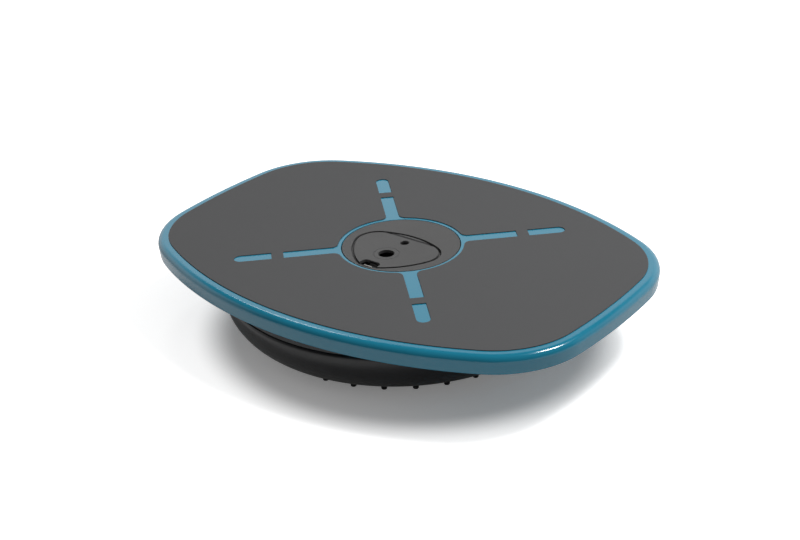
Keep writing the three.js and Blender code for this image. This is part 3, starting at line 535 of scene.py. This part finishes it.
skirt = [(9.5, DECK_BOTTOM), (10.05, 65.55), (10.45, 65.95), (10.7, 66.6)]
fillet = [
    (RIM_FLAT + FILLET * math.cos(a), DECK_TOP - FILLET + FILLET * math.sin(a))
    for a in (math.pi / 2 * i / 12 for i in range(13))
]
rim = skirt + fillet + [(RIM_FLAT - 1, DECK_TOP)]
deck_body = plate("deck_body", [(board_outline(out), z) for out, z in rim])
inside = [(7.5, DECK_BOTTOM - 2), (8.4, 78.2), (8.1, 79.5), (7.2, 80.3), (6.0, PLATE_BOTTOM)]
carve(deck_body, plate("cavity", [(board_outline(out), z) for out, z in inside]))
carve(deck_body, rod("hub_hole", HUB_HOLE, 60, 90, steps=128))
recess = [(0, 60), (2.3, 60), (2.3, 81.6), (4.5, 81.6), (4.5, 90), (0, 90)]
recesses = in_circle(turned("recess", recess, 24, False, (SCREW_RING, 0)), 8, math.pi / 8)
carve(deck_body, recesses)
count = round_edges(
    deck_body, 0.4 * MM, 2,
    lambda p: p.z > (DECK_TOP - 0.1) * MM and abs(p.xy.length - HUB_HOLE * MM) < 0.3 * MM,
)
settle(deck_body)
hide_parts("deck_shell")
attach(deck_body, "deck")
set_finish(deck_body, "deck_teal")
print("deck body:", len(deck_body.data.polygons), "faces,", count, "edges rounded")

# %% [markdown]
# ## The foot mat
#
# One sheet of grey rubber is glued on the deck. A ring, four arms and four short dashes
# are punched out of it, and the teal shows through. The mat is a thin plate, and the
# openings are cut with plates of their own, which keeps each corner as drawn.

# %% Foot mat
MAT_BOTTOM = 84.32
MAT_TOP = 85.2
HUB_RING = 65.5
ARM_HALF = 7.0
ARM_END = 121.6
ARM_FILLET = 8.0
DASH = (133.7, 172.3)


def turned_points(points, angle):
    """Points turned about the middle."""
    c, s = math.cos(angle), math.sin(angle)
    return [(x * c - y * s, x * s + y * c) for x, y in points]


def star_outline():
    """The ring round the hub and its four arms, with a fillet at each root."""
    reach = HUB_RING + ARM_FILLET
    spread = math.asin((ARM_HALF + ARM_FILLET) / reach)
    root_x, root_y = reach * math.cos(spread), reach * math.sin(spread)
    low = arc(root_x, -root_y, ARM_FILLET, math.pi - spread, math.pi / 2, 6)
    arm = low + [(ARM_END, -ARM_HALF), (ARM_END, ARM_HALF)] + [(x, -y) for x, y in reversed(low)]
    ring = arc(0, 0, HUB_RING, spread, math.pi / 2 - spread, 16)[1:-1]
    return [p for i in range(4) for p in turned_points(arm + ring, math.pi / 4 + i * math.pi / 2)]


mat_sheet = plate("mat_sheet", [(board_outline(0), MAT_BOTTOM), (board_outline(0), MAT_TOP)])
star = star_outline()
carve(mat_sheet, plate("star", [(star, 80), (star, 90)]))
dash = arc(DASH[1] - ARM_HALF, 0, ARM_HALF, -math.pi / 2, math.pi / 2, 12)
dash = dash + [(DASH[0], ARM_HALF), (DASH[0], -ARM_HALF)]
carve(mat_sheet, in_circle(plate("dash", [(dash, 80), (dash, 90)]), 4, math.pi / 4))
count = round_edges(mat_sheet, 0.25 * MM, 2, lambda p: p.z > (MAT_TOP - 0.01) * MM)
settle(mat_sheet)
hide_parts("foot_mat")
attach(mat_sheet, "deck")
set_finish(mat_sheet, "mat_rubber")
print("mat:", len(mat_sheet.data.polygons), "faces,", count, "edges rounded")

# %% [markdown]
# ## The hub
#
# The grey disc in the middle holds the hatch. Its seat, the bay below it and the lid
# share one outline, a triangle with bowed sides and round corners, so that the seam
# between lid and disc is even all the way round.

# %% Outline of the hatch
HATCH = {"top": (21.7, 90.0), "corner": (49.3, 22.7), "side": 85.5, "nose": (-58.1, 28.8)}
SEAM = 2.9
HINGE_Y = 16.2


def hatch_outline(offset):
    """The hatch's outline, moved out from the middle of its seam by the offset."""
    (top_y, top_r), (half, corner_r), side_r = HATCH["top"], HATCH["corner"], HATCH["side"]
    nose_r = HATCH["nose"][1]
    nose_y = HATCH["nose"][0] + nose_r
    corner_x = half - corner_r
    corner_y = top_y - top_r + math.sqrt((top_r - corner_r) ** 2 - corner_x**2)
    span = math.hypot(corner_x, corner_y - nose_y)
    reach = ((side_r - nose_r) ** 2 - (side_r - corner_r) ** 2 + span**2) / (2 * span)
    away = math.sqrt((side_r - nose_r) ** 2 - reach**2)
    ux, uy = corner_x / span, (corner_y - nose_y) / span
    side_x, side_y = ux * reach - uy * away, nose_y + uy * reach + ux * away
    top_turn = math.atan2(corner_y - top_y + top_r, corner_x)
    side_turn = math.atan2(corner_y - side_y, corner_x - side_x)
    nose_turn = math.atan2(nose_y - side_y, -side_x)
    right = arc(0, nose_y, nose_r + offset, -math.pi / 2, nose_turn, 12)
    right += arc(side_x, side_y, side_r + offset, nose_turn, side_turn, 20)[1:]
    right += arc(corner_x, corner_y, corner_r + offset, side_turn, top_turn, 16)[1:]
    right += arc(0, top_y - top_r, top_r + offset, top_turn, math.pi / 2, 14)[1:]
    return right + [(-x, y) for x, y in reversed(right[1:-1])]


def kept_below(outline, limit):
    """The part of an outline whose Y is below a straight line."""
    kept = []
    for (x, y), (nx, ny) in zip(outline, outline[1:] + outline[:1]):
        if y <= limit:
            kept.append((x, y))
        if (y <= limit) != (ny <= limit):
            share = (limit - y) / (ny - y)
            kept.append((x + (nx - x) * share, limit))
    return kept


print("hatch outline of", len(hatch_outline(0)), "points")

# %% Hub disc
HUB_TOP = 84.35
HUB_BOTTOM = 79.85
SEAT = 81.05
BAY_FLOOR = 70.35
BAY_BOTTOM = 68.15
VALVE_Y = -24.6
BLEED_Y = 5.9
BAY_INSET = 3.5
BAY_WALL = 2.2
BAY_SETBACK = 2.0
PEG_PLACES = ((-9, 18.9), (9, 18.9))

disc = [
    (0, HUB_BOTTOM), (60.9, HUB_BOTTOM), (61.2, 80.15),
    (61.2, 83.95), (61.08, 84.23), (60.8, HUB_TOP), (0, HUB_TOP),
]
hub_disc = turned("hub_disc", disc, 144, False)
cup = kept_below(hatch_outline(BAY_WALL - BAY_INSET), HINGE_Y - BAY_SETBACK + BAY_WALL)
carve(hub_disc, plate("cup", [(cup, BAY_BOTTOM), (cup, HUB_BOTTOM + 1)]), "UNION")
carve(hub_disc, bar("house", (-8.4, -59.8, BAY_BOTTOM), (8.4, -51.8, HUB_BOTTOM + 1)), "UNION")
seat = hatch_outline(SEAM / 2)
carve(hub_disc, plate("seat", [(seat, SEAT), (seat, 88)]))
bay = kept_below(hatch_outline(-BAY_INSET), HINGE_Y - BAY_SETBACK)
carve(hub_disc, plate("bay", [(bay, BAY_FLOOR), (bay, 84)]))
carve(hub_disc, bar("catch_bay", (-6.2, -57.6, BAY_FLOOR), (6.2, -45.6, 84)))
carve(hub_disc, rod("boss", 4.6, BAY_FLOOR - 1, BAY_FLOOR + 2.6, (0, BLEED_Y)), "UNION")
for name, radius, y in (("valve_hole", 7.8, VALVE_Y), ("bleed_hole", 2.6, BLEED_Y)):
    carve(hub_disc, rod(name, radius, 60, 78, (0, y)))
for peg_place in PEG_PLACES:
    carve(hub_disc, rod("peg_hole", 1.3, 70, 84, peg_place, 20))
count = round_edges(
    hub_disc, 0.25 * MM, 2,
    lambda p: p.z > (HUB_TOP - 0.01) * MM and p.xy.length < 60.5 * MM,
)
settle(hub_disc)
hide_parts("hub_housing")
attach(hub_disc, "deck")
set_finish(hub_disc, "hub_plastic")
print("hub disc:", len(hub_disc.data.polygons), "faces,", count, "seam edges rounded")

# %% [markdown]
# ## The lid, its leaf and its film
#
# The lid is a thin panel with a large hole for the pump, a small bevelled hole for the
# bleed button and a notch for a fingertip. Behind it lies a narrow leaf, and a film of
# black rubber joins the two. The film must bend, so it is a strip of several faces.

# %% Lid panel
LID_BOTTOM = 81.35
LID_END = HINGE_Y - 1.5
LEAF_START = HINGE_Y + 1.4


def on_rim(point):
    """True on the lid's top edges, but not on the groove round the pump hole."""
    from_pump = (point.xy - Vector((0, VALVE_Y)) * MM).length
    return point.z > (HUB_TOP - 0.01) * MM and not 12 * MM < from_pump < 14 * MM


inner = hatch_outline(-SEAM / 2)
lid_panel = plate("lid_panel", [(inner, LID_BOTTOM), (inner, HUB_TOP)])
carve(lid_panel, bar("behind", (-90, LID_END, 70), (90, 60, 95)))
notch = [(-10.9, -80), (10.9, -80)]
notch += arc(6.1, -50.4, 4.8, 0, math.pi / 2, 10) + arc(-6.1, -50.4, 4.8, math.pi / 2, math.pi, 10)
carve(lid_panel, plate("notch", [(notch, 70), (notch, 95)]))
carve(lid_panel, rod("pump_hole", 8.4, 70, 95, (0, VALVE_Y), 72))
carve(lid_panel, rod("pin_hole", 4.6, 70, 95, (0, BLEED_Y), 48))
bevel = [(0, 83.75), (4.6, 83.75), (5.2, HUB_TOP), (5.2, 90), (0, 90)]
carve(lid_panel, turned("bevel", bevel, 48, False, (0, BLEED_Y)))
groove = [(13.15, 84.0), (13.5, 84.0), (13.5, 86), (13.15, 86)]
carve(lid_panel, turned("groove", groove, 96, True, (0, VALVE_Y)))
count = round_edges(lid_panel, 0.3 * MM, 2, on_rim)
hook = [
    (-44.1, 82.85), (-45.6, 82.85), (-45.6, 79.15),
    (-53.3, 79.15), (-53.3, 77.65), (-44.1, 77.65),
]
fused(lid_panel, along_x("striker", hook, 5))
settle(lid_panel)
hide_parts("hub_lid")
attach(lid_panel, "lid")
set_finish(lid_panel, "hub_plastic")
print("lid:", len(lid_panel.data.polygons), "faces,", count, "edges rounded")

# %% Leaf and film
leaf = plate("leaf", [(inner, LID_BOTTOM), (inner, HUB_TOP)])
carve(leaf, bar("ahead", (-90, -90, 70), (90, LEAF_START, 95)))
round_edges(leaf, 0.3 * MM, 2, lambda p: p.z > (HUB_TOP - 0.01) * MM)
for peg_place in PEG_PLACES:
    fused(leaf, rod("peg", 1.0, HUB_BOTTOM, 83, peg_place, 20))
settle(leaf)
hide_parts("hinge_leaf")
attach(leaf, "deck")
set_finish(leaf, "hub_plastic")

film = bar("film", (-24, 14.7, 83.55), (24, 17.6, 84.05))
with editing(film, "EDGE") as mesh:
    pick(mesh, mesh.edges, lambda e: abs(e.verts[0].co.y - e.verts[1].co.y) > MM)
    bmesh.update_edit_mesh(film.data)
    bpy.ops.mesh.subdivide(number_cuts=11)
tidy(film)
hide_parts("hinge_film")
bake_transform(film)
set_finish(film, "seal_rubber")
print("leaf and film:", len(leaf.data.polygons), len(film.data.polygons), "faces")

# %% [markdown]
# ## The catch
#
# A small lever stands in the finger notch. Its hook holds the lid's tab, and its foot is
# round, so that it can rock. It is drawn in profile and pushed out along X, then its
# edges are rounded, because its pale top edge is what the eye finds in the notch.

# %% Catch lever
CATCH_Y = -54.8
CATCH_PIVOT = 71.95
HOOK_Z = 79.45
lever = [
    (-0.8, CATCH_PIVOT), (0.8, CATCH_PIVOT), (0.8, HOOK_Z), (2.2, HOOK_Z),
    (0.4, HOOK_Z + 1.5), (0.4, 83.4), (-0.8, 83.4),
]
catch = along_x("catch_lever", [(CATCH_Y + y, z) for y, z in lever], 4.8)
round_edges(catch, 0.25 * MM, 2, lambda p: p.z > 81 * MM)
foot = along_x("foot", arc(CATCH_Y, CATCH_PIVOT, 1.3, 0, 2 * math.pi, 20)[:-1], 5.5)
fused(catch, foot)
tidy(catch)
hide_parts("lid_catch")
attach(catch, "catch")
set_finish(catch, "catch_plastic")
print("catch:", len(catch.data.polygons), "faces")

# %% [markdown]
# ## The carrier and its collar
#
# Between deck and cushion a lighter grey collar shows. It is the wall of a round pan,
# which holds the cushion's rim and passes the load on to the deck. The pan is turned in
# one go. The ribs and the screw bosses are made once and copied round. One fault is
# left: the cuts round the screw holes don't come out clean, and what they leave behind
# differs from run to run.

# %% Carrier pan
STUD_RING = 166.0

pan_section = [
    (6, 58.4), (180, 58.4), (181, 57.4), (181, 55.9), (181.3, 55.6), (183.6, 55.6), (184, 56.0),
    (184, 64.6), (183.5, 65.1), (181.3, 65.1), (181, 64.8), (181, 61.4),
    (66, 61.4), (66, 65.1), (62.1, 65.1), (62.1, 61.4), (6, 61.4),
]
carrier = turned("carrier", pan_section, 192)
carve(carrier, rod("hub_cap", 8, 58.4, 61.4), "UNION")
carve(carrier, in_circle(bar("rib", (64, -1.2, 59.9), (182.5, 1.2, 65.1)), 16), "UNION")
bosses = in_circle(rod("boss", 5.5, 58.4, 65.1, (SCREW_RING, 0), 24), 8, math.pi / 8)
carve(carrier, bosses, "UNION")
stud_room = [(0, 50), (2.8, 50), (2.8, 61.4), (4.92, 61.4), (4.92, 70), (0, 70)]
carve(carrier, in_circle(turned("stud_room", stud_room, 24, False, (STUD_RING, 0)), 8))
carve(carrier, in_circle(rod("screw_hole", 2.3, 50, 70, (SCREW_RING, 0), 20), 8, math.pi / 8))
carve(carrier, rod("inlet_room", 8.8, 50, 70, (0, VALVE_Y)))
carve(carrier, rod("bleed_room", 7.1, 50, 70, (0, BLEED_Y)))
tidy(carrier)
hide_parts("carrier_pan")
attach(carrier, "deck")
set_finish(carrier, "collar_plastic")
print("carrier:", len(carrier.data.polygons), "faces")

# %% [markdown]
# ## The air cushion
#
# The cushion is a bowl of thick black rubber, closed by a sheet. It tips in two
# directions, and a blended piece can follow only one joint. So the bowl is made in two
# bands that meet half way up. Each band is a closed wall, turned like a pot.

# %% Bowl in two bands
SOLE = 3.55
BULGE = 51.2
CREASE = 55.3
MIDDLE = 29.4
SOLE_RADIUS = 134.3
BOWL_RADIUS = 186.0
WALL = 3.0


def bowl_wall(inset, low, high, steps):
    """Points of the bowl's elliptical wall between two heights, this far inside."""
    wide, deep = BOWL_RADIUS - SOLE_RADIUS - inset, BULGE - SOLE - inset
    start = math.acos(min(1, (BULGE - low) / deep))
    end = math.acos(max(0, (BULGE - high) / deep))
    turns = [start + (end - start) * i / steps for i in range(steps + 1)]
    return [(SOLE_RADIUS + wide * math.sin(a), BULGE - deep * math.cos(a)) for a in turns]


outside = bowl_wall(0, SOLE, MIDDLE, 16)
lining = bowl_wall(WALL, SOLE + WALL, MIDDLE, 12)
lower = [(0, SOLE), (80, SOLE)] + outside + lining[::-1] + [(80, SOLE + WALL), (0, SOLE + WALL)]
bowl_lower = turned("bowl_lower", lower, 192, False)

nub_section = [(0, 0), (1.9, 0), (2.6, 0.25), (2.95, 0.9), (3.0, 7.4), (0, 7.4)]
nubs = in_circle(turned("nub", nub_section, 20, False, (147.5, 0)), 30)
fused(bowl_lower, nubs)
tidy(bowl_lower)
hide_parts("cushion_bowl")
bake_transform(bowl_lower)
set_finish(bowl_lower, "cushion_rubber")

outside = bowl_wall(0, MIDDLE, BULGE, 12)
quarter = [math.pi / 2 * i / 6 for i in range(1, 7)]
shoulder = [(BOWL_RADIUS - 2 * (1 - math.cos(a)), BULGE + 4.1 * math.sin(a)) for a in quarter]
lining = bowl_wall(WALL, MIDDLE, BULGE, 10)
mouth = [(150, CREASE), (150, CREASE - WALL), (182, CREASE - WALL)]
upper = outside + shoulder + mouth + lining[::-1]
bowl_upper = turned("bowl_upper", upper, 192)
studs = in_circle(rod("stud_hole", 2.8, 45, 60, (STUD_RING, 0), 20), 8)
carve(bowl_upper, studs)
tidy(bowl_upper)
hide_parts("cushion_bowl")
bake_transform(bowl_upper)
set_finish(bowl_upper, "cushion_rubber")
print("bowl:", len(bowl_lower.data.polygons), "+", len(bowl_upper.data.polygons), "faces")

# %% Top sheet with its two necks
sheet = rod("top_sheet", 178, 55.6, 58.1, steps=144)
carve(sheet, rod("neck", 8.5, 56, 64.65, (0, VALVE_Y)), "UNION")
carve(sheet, rod("neck", 6.8, 56, 64.65, (0, BLEED_Y)), "UNION")
carve(sheet, rod("bore", 6.0, 50, 70, (0, VALVE_Y)))
carve(sheet, rod("bore", 4.3, 50, 70, (0, BLEED_Y)))
carve(sheet, in_circle(rod("stud_hole", 2.8, 50, 62, (STUD_RING, 0), 20), 8))
round_edges(sheet, 0.4 * MM, 2, lambda p: True)
tidy(sheet)
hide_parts("cushion_sheet")
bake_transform(sheet)
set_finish(sheet, "cushion_rubber")
print("top sheet:", len(sheet.data.polygons), "faces")

# %% [markdown]
# ## The valves
#
# Under the large hole sits the inlet valve, closed by a rubber stopper with a finger
# tab. Under the small hole a sprung button lets air out. All of them are turned parts,
# and the nut is a hexagon whose corners are eased, so they take a profile each.

# %% Inlet valve and stopper
NUT_CORNER = 10.9
NUT_EASE = 0.94

body_section = [
    (4.4, 52.9), (4.8, 52.6), (5.4, 52.6), (5.7, 52.9), (5.7, 64.95), (11.2, 64.95),
    (11.5, 65.25), (11.5, 66.25), (11.2, 66.55), (7.5, 66.55),
    (7.5, 73.55), (7.1, 73.95), (4.8, 73.95), (4.4, 73.55),
]
inlet = turned("inlet_valve", body_section, 64, True, (0, VALVE_Y))
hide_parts("valve_body")
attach(inlet, "deck")
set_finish(inlet, "valve_plastic")

sixths = [math.pi / 3 * i for i in range(6)]
corners = [(NUT_CORNER * math.cos(a), VALVE_Y + NUT_CORNER * math.sin(a)) for a in sixths]
eased = [(x * NUT_EASE, VALVE_Y + (y - VALVE_Y) * NUT_EASE) for x, y in corners]
nut = plate("valve_ring_nut", [(eased, 70.65), (corners, 71.05), (corners, 73.25), (eased, 73.65)])
carve(nut, rod("thread", 7.8, 70, 76, (0, VALVE_Y)))
tidy(nut)
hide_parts("valve_nut")
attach(nut, "deck")
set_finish(nut, "valve_plastic")

stem = [
    (0, 65.25), (3.3, 65.25), (4.1, 66.85), (4.1, 68.65),
    (3.9, 68.95), (4.1, 69.25), (4.1, 74.25),
]
head = [(5.1, 74.25), (5.4, 74.55), (5.4, 75.65), (5.0, 76.05), (0, 76.05)]
stopper = turned("stopper", stem + head, 64, False, (0, VALVE_Y))
tab = bar("tab", (-3.8, VALVE_Y - 1.2, 75.2), (3.8, VALVE_Y + 1.2, 77.65))
round_edges(tab, 0.6 * MM, 3, lambda p: p.z > 77 * MM)
fused(stopper, tab)
tidy(stopper)
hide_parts("valve_plug")
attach(stopper, "plug")
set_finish(stopper, "seal_rubber")
for piece in (inlet, nut, stopper):
    print(piece.name, len(piece.data.polygons), "faces")

# %% Bleed valve
bleed_section = [
    (2.6, 53.4), (2.9, 53.1), (3.7, 53.1), (4.0, 53.4), (4.0, 66.25), (7.2, 66.25),
    (7.5, 66.55), (7.5, 67.55), (7.2, 67.85), (2.9, 67.85), (2.6, 67.55),
]
bleed_valve = turned("bleed_valve", bleed_section, 48, True, (0, BLEED_Y))
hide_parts("bleed_body")
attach(bleed_valve, "deck")
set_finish(bleed_valve, "valve_plastic")

button_section = [
    (0, 58.2), (1.9, 58.2), (2.2, 58.5), (2.2, 77.45), (3.7, 77.45),
    (4.0, 77.75), (4.0, 79.05), (3.6, 79.45), (0, 79.45),
]
button = turned("button", button_section, 48, False, (0, BLEED_Y))
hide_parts("bleed_button")
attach(button, "bleed")
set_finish(button, "seal_rubber")
print("bleed valve:", len(bleed_valve.data.polygons), "button:", len(button.data.polygons))

# %% [markdown]
# The button is pushed back up by a small coil spring. One round section is swept upwards
# by a Screw modifier, three turns about the axis. The spring stands on the boss and
# shortens as the button goes down.

# %% Coil spring
COIL_RADIUS = 3.2
WIRE_RADIUS = 0.3
COIL_FOOT = 73.55
COIL_RISE = 3.0
TURNS = 3

bpy.ops.object.select_all(action="DESELECT")
bpy.ops.mesh.primitive_circle_add(vertices=10, radius=MM, fill_type="NOTHING")
coil = bpy.context.object
coil.name = "coil"
for i, vertex in enumerate(coil.data.vertices):
    a = 2 * math.pi * i / 10
    vertex.co = Vector((COIL_RADIUS + WIRE_RADIUS * math.cos(a), 0, WIRE_RADIUS * math.sin(a))) * MM
sweep = coil.modifiers.new("sweep", "SCREW")
sweep.axis = "Z"
sweep.angle = 2 * math.pi
sweep.iterations = TURNS
sweep.screw_offset = COIL_RISE / TURNS * MM
sweep.steps = sweep.render_steps = 28
alone(coil)
bpy.ops.object.modifier_apply(modifier="sweep")
with editing(coil, "EDGE") as mesh:
    pick(mesh, mesh.edges, lambda e: e.is_boundary)
    bmesh.update_edit_mesh(coil.data)
    bpy.ops.mesh.fill_holes(sides=10)
coil.data.transform(Matrix.Translation(Vector((0, BLEED_Y, COIL_FOOT)) * MM))
tidy(coil)
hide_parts("bleed_spring")
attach(coil, "deck")
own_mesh(coil)
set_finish(coil, "spring_steel")
print("spring:", len(coil.data.polygons), "faces")

# %% [markdown]
# ## Finishes
#
# Each finish starts from one plain colour, as a maker would order it, and gets from
# nodes a moulded grain and a little unevenness of colour and roughness. The helper below
# only shortens the typing: it adds a node, sets its properties, and fills its sockets.

# %% Node helper and shared groups
def put(tree, kind, props=(), **sockets):
    """Adds a node. A socket's value may be another node's output, which is linked."""
    node = tree.nodes.new(kind)
    for name, value in dict(props).items():
        setattr(node, name, value)
    for name, value in sockets.items():
        number = name[1:]
        socket = node.inputs[int(number) if number.isdigit() else name.replace("_", " ")]
        if isinstance(value, bpy.types.NodeSocket):
            tree.links.new(value, socket)
        else:
            socket.default_value = value
    return node


def group(name, inputs, output):
    """A node group with float or vector inputs and one float output."""
    tree = bpy.data.node_groups.new(name, "ShaderNodeTree")
    for label, kind in inputs:
        tree.interface.new_socket(label, in_out="INPUT", socket_type=kind)
    tree.interface.new_socket(output, in_out="OUTPUT", socket_type="NodeSocketFloat")
    return tree, tree.nodes.new("NodeGroupInput"), tree.nodes.new("NodeGroupOutput")


def grain_group():
    """Pebbled moulding grain: small cells broken up by finer noise."""
    tree, source, sink = group(
        "moulded_grain", [("Vector", "NodeSocketVector"), ("Scale", "NodeSocketFloat")], "Height"
    )
    where, scale = source.outputs[0], source.outputs[1]
    cells = put(
        tree, "ShaderNodeTexVoronoi", {"feature": "SMOOTH_F1"},
        Vector=where, Scale=scale, Smoothness=0.6,
    )
    finer = put(tree, "ShaderNodeMath", {"operation": "MULTIPLY"}, i0=scale, i1=2.3)
    noise = put(
        tree, "ShaderNodeTexNoise",
        Vector=where, Scale=finer.outputs[0], Detail=3.0, Roughness=0.6,
    )
    both = put(
        tree, "ShaderNodeMath", {"operation": "ADD"},
        i0=cells.outputs["Distance"], i1=noise.outputs["Fac"],
    )
    half = put(tree, "ShaderNodeMath", {"operation": "MULTIPLY"}, i0=both.outputs[0], i1=0.5)
    tree.links.new(half.outputs[0], sink.inputs[0])
    return tree


def patches_group():
    """Slow, soft patches from 0 to 1, for unevenness, dust and scuffs."""
    tree, source, sink = group(
        "soft_patches",
        [
            ("Vector", "NodeSocketVector"),
            ("Scale", "NodeSocketFloat"),
            ("Amount", "NodeSocketFloat"),
        ],
        "Mask",
    )
    where, scale, amount = source.outputs[0], source.outputs[1], source.outputs[2]
    noise = put(
        tree, "ShaderNodeTexNoise",
        Vector=where, Scale=scale, Detail=5.0, Roughness=0.65, Distortion=0.4,
    )
    spread = put(
        tree, "ShaderNodeMapRange", {"interpolation_type": "SMOOTHSTEP"},
        Value=noise.outputs["Fac"], From_Min=0.38, From_Max=0.68,
    )
    final = put(tree, "ShaderNodeMath", {"operation": "MULTIPLY"}, i0=spread.outputs[0], i1=amount)
    tree.links.new(final.outputs[0], sink.inputs[0])
    return tree


GRAIN = grain_group()
PATCHES = patches_group()
print("groups:", GRAIN.name, PATCHES.name)

# %% [markdown]
# One recipe makes all the solid finishes. It mixes the ordered colour with a slightly
# paler or darker one through the soft patches, sets roughness in the same way, and
# raises the grain as bump. The grain's scale is in cells per metre, so 1500 is a grain
# of about two thirds of a millimetre.

# %% Recipe for a finish
def finish(
    name, colour, uneven, rough, grain, bump, metal=0.0, patch=9.0, scratch=0.0, ior=1.5
):
    """A plastic, rubber or metal finish. Rough is a low and a high value."""
    paint = bpy.data.materials.new(name)
    paint.use_nodes = True
    tree = paint.node_tree
    shader = tree.nodes["Principled BSDF"]
    where = put(tree, "ShaderNodeTexCoord").outputs["Object"]
    patches = put(
        tree, "ShaderNodeGroup", {"node_tree": PATCHES}, Vector=where, Scale=patch, Amount=1.0
    )
    speckle = put(tree, "ShaderNodeTexNoise", Vector=where, Scale=grain * 0.8, Detail=2.0)
    mottle = put(
        tree, "ShaderNodeMix", {"data_type": "FLOAT"},
        Factor=0.35, A=patches.outputs[0], B=speckle.outputs["Fac"],
    )
    colours = put(tree, "ShaderNodeMix", {"data_type": "RGBA"})
    tree.links.new(mottle.outputs["Result"], colours.inputs["Factor"])
    colours.inputs[6].default_value = (*colour, 1)
    colours.inputs[7].default_value = (*[c * (1 + uneven) for c in colour], 1)
    tree.links.new(colours.outputs[2], shader.inputs["Base Color"])
    dull = put(tree, "ShaderNodeMapRange", Value=mottle.outputs["Result"])
    dull.inputs["To Min"].default_value, dull.inputs["To Max"].default_value = rough
    tree.links.new(dull.outputs[0], shader.inputs["Roughness"])
    pebbles = put(tree, "ShaderNodeGroup", {"node_tree": GRAIN}, Vector=where, Scale=grain)
    height = pebbles.outputs[0]
    if scratch:
        lines = put(tree, "ShaderNodeMapping", Vector=where, Scale=(scratch, scratch, 14.0))
        brushed = put(tree, "ShaderNodeTexNoise", Vector=lines.outputs[0], Scale=3.0, Detail=2.0)
        height = brushed.outputs["Fac"]
    raised = put(tree, "ShaderNodeBump", Height=height, Strength=bump, Distance=0.0004)
    tree.links.new(raised.outputs[0], shader.inputs["Normal"])
    shader.inputs["Metallic"].default_value = metal
    shader.inputs["IOR"].default_value = ior
    return paint


# Each row: colour, unevenness, roughness from and to, grain, bump, and what else differs.
RECIPES = {
    "glossy_teal": ((0.014, 0.240, 0.372), 0.05, (0.13, 0.19), 2600, 0.015, {"ior": 1.6}),
    "grey_mat_rubber": ((0.090, 0.091, 0.093), 0.10, (0.78, 0.92), 1500, 0.35, {}),
    "matt_grey_plastic": ((0.078, 0.078, 0.078), 0.05, (0.50, 0.62), 2000, 0.12, {}),
    "pale_catch_plastic": ((0.46, 0.455, 0.43), 0.05, (0.3, 0.45), 2200, 0.05, {}),
    "collar_grey_plastic": ((0.049, 0.050, 0.052), 0.08, (0.45, 0.6), 1800, 0.15, {}),
    "black_cushion_rubber": ((0.015, 0.015, 0.016), 0.25, (0.26, 0.38), 1200, 0.12, {}),
    "black_valve_plastic": ((0.02, 0.02, 0.021), 0.15, (0.32, 0.45), 2200, 0.06, {}),
    "stopper_rubber": ((0.012, 0.012, 0.013), 0.2, (0.6, 0.75), 1800, 0.12, {}),
    "zinc_plated_steel": (
        (0.55, 0.56, 0.57), 0.08, (0.3, 0.42), 1500, 0.1,
        {"metal": 1.0, "patch": 40.0, "scratch": 300.0},
    ),
    "bright_spring_steel": (
        (0.5, 0.5, 0.5), 0.06, (0.2, 0.3), 1500, 0.05, {"metal": 1.0, "patch": 60.0},
    ),
}
FINISHES = {name: finish(name, *row[:-1], **row[-1]) for name, row in RECIPES.items()}
print(len(FINISHES), "finishes")

# %% Finishes on the pieces
SLOTS = {
    "deck_teal": "glossy_teal",
    "mat_rubber": "grey_mat_rubber",
    "hub_plastic": "matt_grey_plastic",
    "catch_plastic": "pale_catch_plastic",
    "collar_plastic": "collar_grey_plastic",
    "cushion_rubber": "black_cushion_rubber",
    "valve_plastic": "black_valve_plastic",
    "seal_rubber": "stopper_rubber",
    "zinc_steel": "zinc_plated_steel",
    "spring_steel": "bright_spring_steel",
}
for piece in bpy.context.scene.objects:
    if piece.type == "MESH" and piece.get("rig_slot") in SLOTS:
        piece.data.materials.clear()
        piece.data.materials.append(FINISHES[SLOTS[piece["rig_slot"]]])

dressed = 0
for part in frame["record"]["subparts"]:
    node = frame["nodes"][part["node"]]
    for slot in node.material_slots:
        slot.link = "OBJECT"
        slot.material = FINISHES[SLOTS[part["material_slot"]]]
        dressed += 1
print("finishes on", dressed, "nodes of the engineering model")
